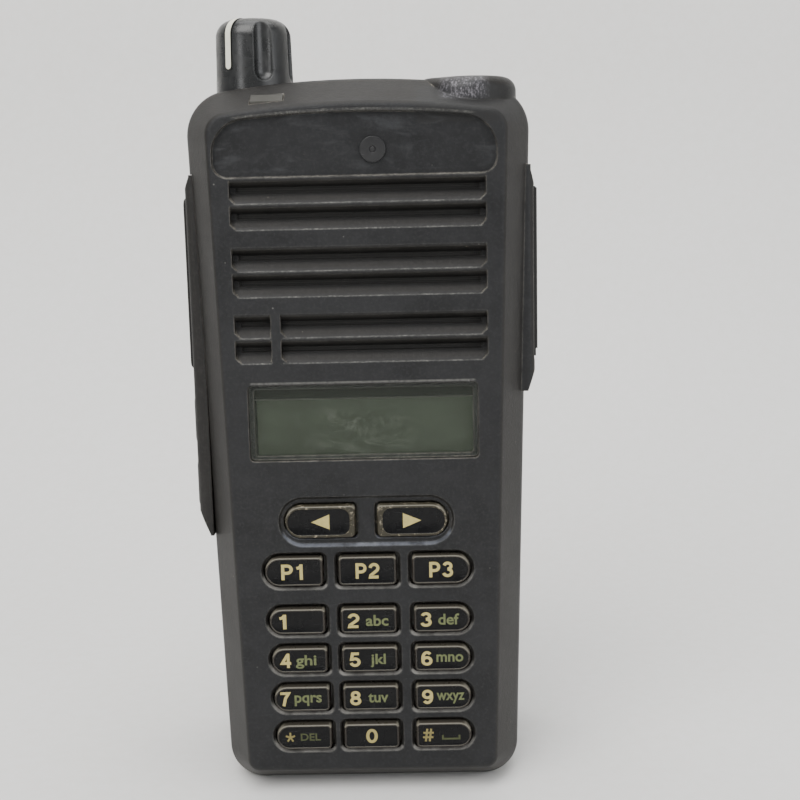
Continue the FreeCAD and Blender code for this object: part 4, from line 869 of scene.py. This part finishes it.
def pen_line(builder, points, pen, level):
    """A flat ribbon along a line, with mitred bends."""
    closed = math.dist(points[0], points[-1]) < 1e-6
    if closed:
        points = points[:-1]
    count = len(points)
    edges = []
    for index, point in enumerate(points):
        before = points[(index - 1) % count] if closed or index else point
        after = points[(index + 1) % count] if closed or index < count - 1 else point
        first = Vector((point[0] - before[0], point[1] - before[1]))
        second = Vector((after[0] - point[0], after[1] - point[1]))
        first = first.normalized() if first.length else second.normalized()
        second = second.normalized() if second.length else first
        along = (first + second).normalized()
        reach = pen / 2 / max(along.dot(first), 0.45)
        side = Vector((-along.y, along.x)) * reach
        left = builder.verts.new((point[0] + side.x, point[1] + side.y, level))
        right = builder.verts.new((point[0] - side.x, point[1] - side.y, level))
        edges.append((left, right))
    last = count if closed else count - 1
    for index in range(last):
        (a, b), (c, d) = edges[index], edges[(index + 1) % count]
        builder.faces.new((a, b, d, c))


def figure_art(text):
    """Bold upright figures as flat ribbons, side by side."""
    builder = bmesh.new()
    for place, character in enumerate(text):
        for level, line in enumerate(FIGURES[character]):
            moved = [(x + place * ADVANCE, y) for x, y in line]
            pen_line(builder, moved, PENS.get(character, PEN), level * 0.3)
    return builder


# Key, main legend, its place across, its width; small legend, its place across, its width.
LEGENDS = [
    ("key_p1", "P1", -0.35, 3.9, "", 0, 0),
    ("key_p2", "P2", 0.0, 4.3, "", 0, 0),
    ("key_p3", "P3", 0.0, 4.3, "", 0, 0),
    ("key_1", "1", -2.65, 1.3, "", 0, 0),
    ("key_2", "2", -2.8, 2.15, "abc", 1.5, 4.1),
    ("key_3", "3", -2.9, 2.05, "def", 1.2, 3.8),
    ("key_4", "4", -2.65, 2.1, "ghi", 1.15, 3.8),
    ("key_5", "5", -2.7, 2.0, "jkl", 1.5, 2.8),
    ("key_6", "6", -2.9, 2.05, "mno", 1.3, 4.9),
    ("key_7", "7", -3.0, 2.0, "pqrs", 1.1, 5.0),
    ("key_8", "8", -2.8, 2.05, "tuv", 1.35, 3.7),
    ("key_9", "9", -2.9, 2.05, "wxyz", 1.3, 5.1),
    ("key_star", "*", -2.6, 1.8, "DEL", 1.15, 3.7),
    ("key_0", "0", 0.0, 2.15, "", 0, 0),
    ("key_hash", "#", -2.9, 2.0, "", 0, 0),
]
MAIN_TALL = {"P": 2.9, "*": 1.8, "#": 2.5}
FIGURE_TALL = 2.75
SMALL_TALL = {"abc": 2.1, "def": 2.1, "ghi": 2.6, "jkl": 2.6, "mno": 1.45}
SMALL_TALL.update({"pqrs": 2.1, "tuv": 1.8, "wxyz": 2.1, "DEL": 1.4})
SMALL_EMBOLDEN = 0.042
DESCENDERS = {"ghi": -0.25, "jkl": -0.25, "pqrs": -0.3, "wxyz": -0.3}

# Half sizes of the arrows and of the space mark, and how thick the space mark's line is.
ARROW_ACROSS, ARROW_TALL = 1.65, 1.38
SPACE_HALF, SPACE_TALL, SPACE_PEN = 1.7, 0.45, 0.35
SPACE_AT = (1.3, -0.5)


def space_art():
    """The space mark: a wide shallow bracket, open at the top."""
    inner = SPACE_HALF - SPACE_PEN
    floor = SPACE_PEN - SPACE_TALL
    bars = [
        (-SPACE_HALF, -SPACE_TALL, SPACE_HALF, floor),
        (-SPACE_HALF, floor, -inner, SPACE_TALL),
        (inner, floor, SPACE_HALF, SPACE_TALL),
    ]
    return polygon_art([[(x0, y0), (x1, y0), (x1, y1), (x0, y1)] for x0, y0, x1, y1 in bars])


def make_keys():
    """All the key caps with their printed legends."""
    for name, side in ARROWS.items():
        centre, face_y = key_cap(name)
        tip = side * ARROW_ACROSS
        art = polygon_art([[(tip, 0), (-tip, ARROW_TALL), (-tip, -ARROW_TALL)]])
        place_print(art, centre, 0, 0, face_y)
        piece(f"{name}_arrow", art, [CREAM], name)
    for name, text, across, wide, small, small_across, small_wide in LEGENDS:
        centre, face_y = key_cap(name)
        art = figure_art(text)
        place_print(art, centre, across, 0, face_y, wide, MAIN_TALL.get(text[0], FIGURE_TALL))
        piece(f"{name}_legend", art, [CREAM], name)
        if small:
            art = lettering(small, 2.0, SMALL_EMBOLDEN)
            up = DESCENDERS.get(small, 0.0)
            place_print(art, centre, small_across, up, face_y, small_wide, SMALL_TALL[small])
            piece(f"{name}_letters", art, [GREEN], name)
        if name == "key_hash":
            art = space_art()
            place_print(art, centre, *SPACE_AT, face_y)
            piece(f"{name}_space", art, [GREEN], name)


make_keys()


# ---------------------------------------------------------------- display


# The viewing area's place across, its low and high edges and its width, and the film's edge above it.
# The viewing area sits low in the glass, so the dark mask shows as a wide band above it: partly the
# display's border, partly a painted shadow under the window's upper wall.
VIEW_ACROSS, VIEW_UP, VIEW_WIDE = 0.2, (63.9, 73.9), 38.6
FILM_LIFT, FILM_TALL, FILM_OVERHANG = 0.12, 0.22, 0.6


def make_display():
    """The display glass: a dark mask, the green grey viewing area on it and the film's edge above that. The
    mask's wide band above the viewing area is partly the display's border and partly a painted shadow.
    """
    low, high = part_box("lcd_panel")
    size = (high - low) / MM
    centre = (low + high) / 2 / MM
    face = low.y / MM
    glass = plate(
        "display_glass", (centre.x, face, centre.z), (size.x, size.z), 0.4,
        [(0.0, size.y), (0.0, 0.15), (0.12, 0.03)], MASK, "radio_body",
    )
    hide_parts("lcd_panel")
    view_low, view_high = VIEW_UP
    plate(
        "display_view", (VIEW_ACROSS, face, (view_low + view_high) / 2), (VIEW_WIDE, view_high - view_low),
        0.25, [(0.0, 0.02), (0.0, -0.02), (0.05, -0.03)], LCD, "radio_body", 3,
    )
    plate(
        "display_film_edge", (0.0, face, view_high + FILM_LIFT), (VIEW_WIDE + FILM_OVERHANG, FILM_TALL),
        0.08, [(0.0, 0.0), (0.0, -0.04), (0.03, -0.05)], FILM_EDGE, "radio_body", 2,
    )


make_display()


# ---------------------------------------------------------------- antenna socket and battery label


TURNED_STEPS = 48


def turned(profile, centre):
    """A bmesh turned about a vertical axis from (radius, height) pairs in millimetres."""
    builder = bmesh.new()
    rings = []
    for radius, height in profile:
        ring = []
        for index in range(TURNED_STEPS):
            angle = 2 * math.pi * index / TURNED_STEPS
            x = centre[0] + radius * MM * math.cos(angle)
            y = centre[1] + radius * MM * math.sin(angle)
            ring.append((x, y, height * MM))
        rings.append(ring)
    loft(builder, rings)
    return builder


# The antenna socket in millimetres: its radii, and its thread's pitch and length. The floor of its bore is
# SOCKET_FLOOR above its lower end, with the centre contact standing on it.
SOCKET_BARREL = 4.35
SOCKET_FLANGE = 5.6
SOCKET_MOUTH = 3.4
THREAD_CREST, THREAD_ROOT = 3.12, 3.42
THREAD_PITCH = 0.72
THREAD_LENGTH = 6.9
RELIEF_RADIUS = 3.5
SOCKET_FLOOR = 1.6
CONTACT_RADIUS, CONTACT_TALL = 0.8, 1.2


def make_socket():
    """The antenna socket: plated flange, threaded bore and centre contact."""
    low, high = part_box("antenna_socket")
    centre = ((low.x + high.x) / 2, (low.y + high.y) / 2)
    top = high.z / MM
    bottom = low.z / MM
    profile = [(0.4, bottom), (SOCKET_BARREL, bottom)]
    profile += [(SOCKET_BARREL, top - 1.9), (SOCKET_FLANGE, top - 1.85)]
    profile += [(SOCKET_FLANGE + 0.02, top - 0.35), (SOCKET_FLANGE - 0.25, top - 0.02)]
    profile += [(SOCKET_MOUTH + 0.35, top - 0.02), (SOCKET_MOUTH, top - 0.35)]
    height = top - 0.8
    while height > top - THREAD_LENGTH:
        profile += [(THREAD_CREST, height), (THREAD_CREST, height - 0.14)]
        profile += [(THREAD_ROOT, height - 0.36), (THREAD_ROOT, height - 0.44)]
        height -= THREAD_PITCH
    floor = bottom + SOCKET_FLOOR
    profile += [(THREAD_CREST, height), (RELIEF_RADIUS, height), (RELIEF_RADIUS, floor)]
    profile += [(CONTACT_RADIUS, floor), (CONTACT_RADIUS, floor + 0.9)]
    profile += [(0.5, floor + CONTACT_TALL), (0.05, floor + CONTACT_TALL)]
    socket = piece("antenna_insert", turned(profile, centre), [NICKEL], "radio_body")
    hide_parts("antenna_socket")


LABEL_SIZE = (40.0, 22.0)
LABEL_UP = 31.0


def make_label():
    """A blank label on the back of the battery, below the belt clip's lever."""
    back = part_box("battery_cover")[1].y / MM
    layers = [(0.0, -0.05), (0.0, 0.10), (0.08, 0.14)]
    plate("battery_label", (0.0, back, LABEL_UP), LABEL_SIZE, 2.0, layers, LABEL, "battery")


make_socket()
make_label()


# ---------------------------------------------------------------- stage, light and camera


# The sweep, in metres: flat to SWEEP_BEND, then a quarter turn up into a wall.
SWEEP_HALF = 1.8
SWEEP_NEAR = -1.6
SWEEP_BEND = 0.10
SWEEP_RADIUS = 0.16
SWEEP_TOP = 1.6
SWEEP_STEPS = 12


def make_stage():
    """A pale seamless sweep."""
    s = Shade("stage_paper")
    fibres = s.noise(3.0, 4.0, 0.6)
    colour = s.blend(s.step(fibres, 0.3, 0.7), tint(226, 225, 222), tint(229, 228, 226))
    paper = s.finish(colour, 0.9, s.bump(fibres, 0.03), specular=0.2)
    section = [(SWEEP_NEAR, 0.0), (-0.5, 0.0), (SWEEP_BEND, 0.0)]
    for index in range(1, SWEEP_STEPS + 1):
        angle = math.radians(90 * index / SWEEP_STEPS)
        rise = SWEEP_RADIUS * (1 - math.cos(angle))
        section.append((SWEEP_BEND + SWEEP_RADIUS * math.sin(angle), rise))
    section.append((SWEEP_BEND + SWEEP_RADIUS, SWEEP_TOP))
    builder = bmesh.new()
    left, right = [
        [builder.verts.new((x, y, z)) for y, z in section]
        for x in (-SWEEP_HALF, SWEEP_HALF)
    ]
    for index in range(len(section) - 1):
        builder.faces.new((left[index], right[index], right[index + 1], left[index + 1]))
    mesh = bpy.data.meshes.new("sweep")
    builder.to_mesh(mesh)
    builder.free()
    for polygon in mesh.polygons:
        polygon.use_smooth = True
    mesh.materials.append(paper)
    sweep = bpy.data.objects.new("sweep", mesh)
    bpy.context.scene.collection.objects.link(sweep)


LIT_POINT = Vector((0.0, 0.0, 0.07))
# Name, place and size in metres, power in watts, colour.
LIGHTS = [
    ("key", (-0.25, -0.55, 0.75), 0.7, 9.0, (1.0, 0.99, 0.97)),
    ("top", (0.05, 0.05, 0.9), 0.7, 5.0, (1.0, 1.0, 1.0)),
    ("fill", (0.7, -0.5, 0.35), 0.6, 3.0, (0.97, 0.98, 1.0)),
    ("window", (-0.62, -0.85, 0.22), 0.22, 0.9, (1.0, 1.0, 1.0)),
]
SURROUND_COLOUR, SURROUND_STRENGTH = (0.95, 0.97, 1.0, 1.0), 0.45


def area_light(name, place, size, power, colour):
    """A soft square light aimed at the radio."""
    data = bpy.data.lights.new(name, "AREA")
    data.shape = "SQUARE"
    data.size = size
    data.energy = power
    data.color = colour
    lamp = bpy.data.objects.new(name, data)
    lamp.location = place
    direction = LIT_POINT - Vector(place)
    lamp.rotation_euler = direction.to_track_quat("-Z", "Y").to_euler()
    bpy.context.scene.collection.objects.link(lamp)


def make_light():
    """Soft light from above the camera, from overhead and from each side, and a bright surround."""
    for light in LIGHTS:
        area_light(*light)
    world = bpy.data.worlds.new("surround")
    world.use_nodes = True
    background = world.node_tree.nodes["Background"]
    background.inputs["Color"].default_value = SURROUND_COLOUR
    background.inputs["Strength"].default_value = SURROUND_STRENGTH
    bpy.context.scene.world = world


# The camera: its direction from the radio and its roll, the point of the front face that it is aimed at,
# its distance from that point in metres, and its lens and sensor in millimetres.
CAMERA_AZIMUTH, CAMERA_ELEVATION, CAMERA_ROLL = map(math.radians, (0.77, 9.18, -1.30))
CAMERA_TARGET = Vector((6.56 * MM, FRONT, 73.85 * MM))
CAMERA_DISTANCE = 0.2259
LENS_LENGTH = 57.4065
SENSOR_WIDTH = 36.0


def make_camera():
    """The photograph's viewpoint."""
    flat = math.cos(CAMERA_ELEVATION)
    rise = math.sin(CAMERA_ELEVATION)
    back = Vector((math.sin(CAMERA_AZIMUTH) * flat, -math.cos(CAMERA_AZIMUTH) * flat, rise))
    level_right = Vector((0, 0, 1)).cross(back).normalized()
    level_up = back.cross(level_right)
    right = math.cos(CAMERA_ROLL) * level_right + math.sin(CAMERA_ROLL) * level_up
    up = math.cos(CAMERA_ROLL) * level_up - math.sin(CAMERA_ROLL) * level_right
    data = bpy.data.cameras.new("camera")
    data.sensor_width = SENSOR_WIDTH
    data.lens = LENS_LENGTH
    data.clip_start = 0.01
    camera = bpy.data.objects.new("camera", data)
    turn = Matrix((right, up, back)).transposed()
    place = CAMERA_TARGET + back * CAMERA_DISTANCE
    camera.matrix_world = Matrix.Translation(place) @ turn.to_4x4()
    bpy.context.scene.collection.objects.link(camera)
    bpy.context.scene.camera = camera


make_stage()
make_light()
make_camera()
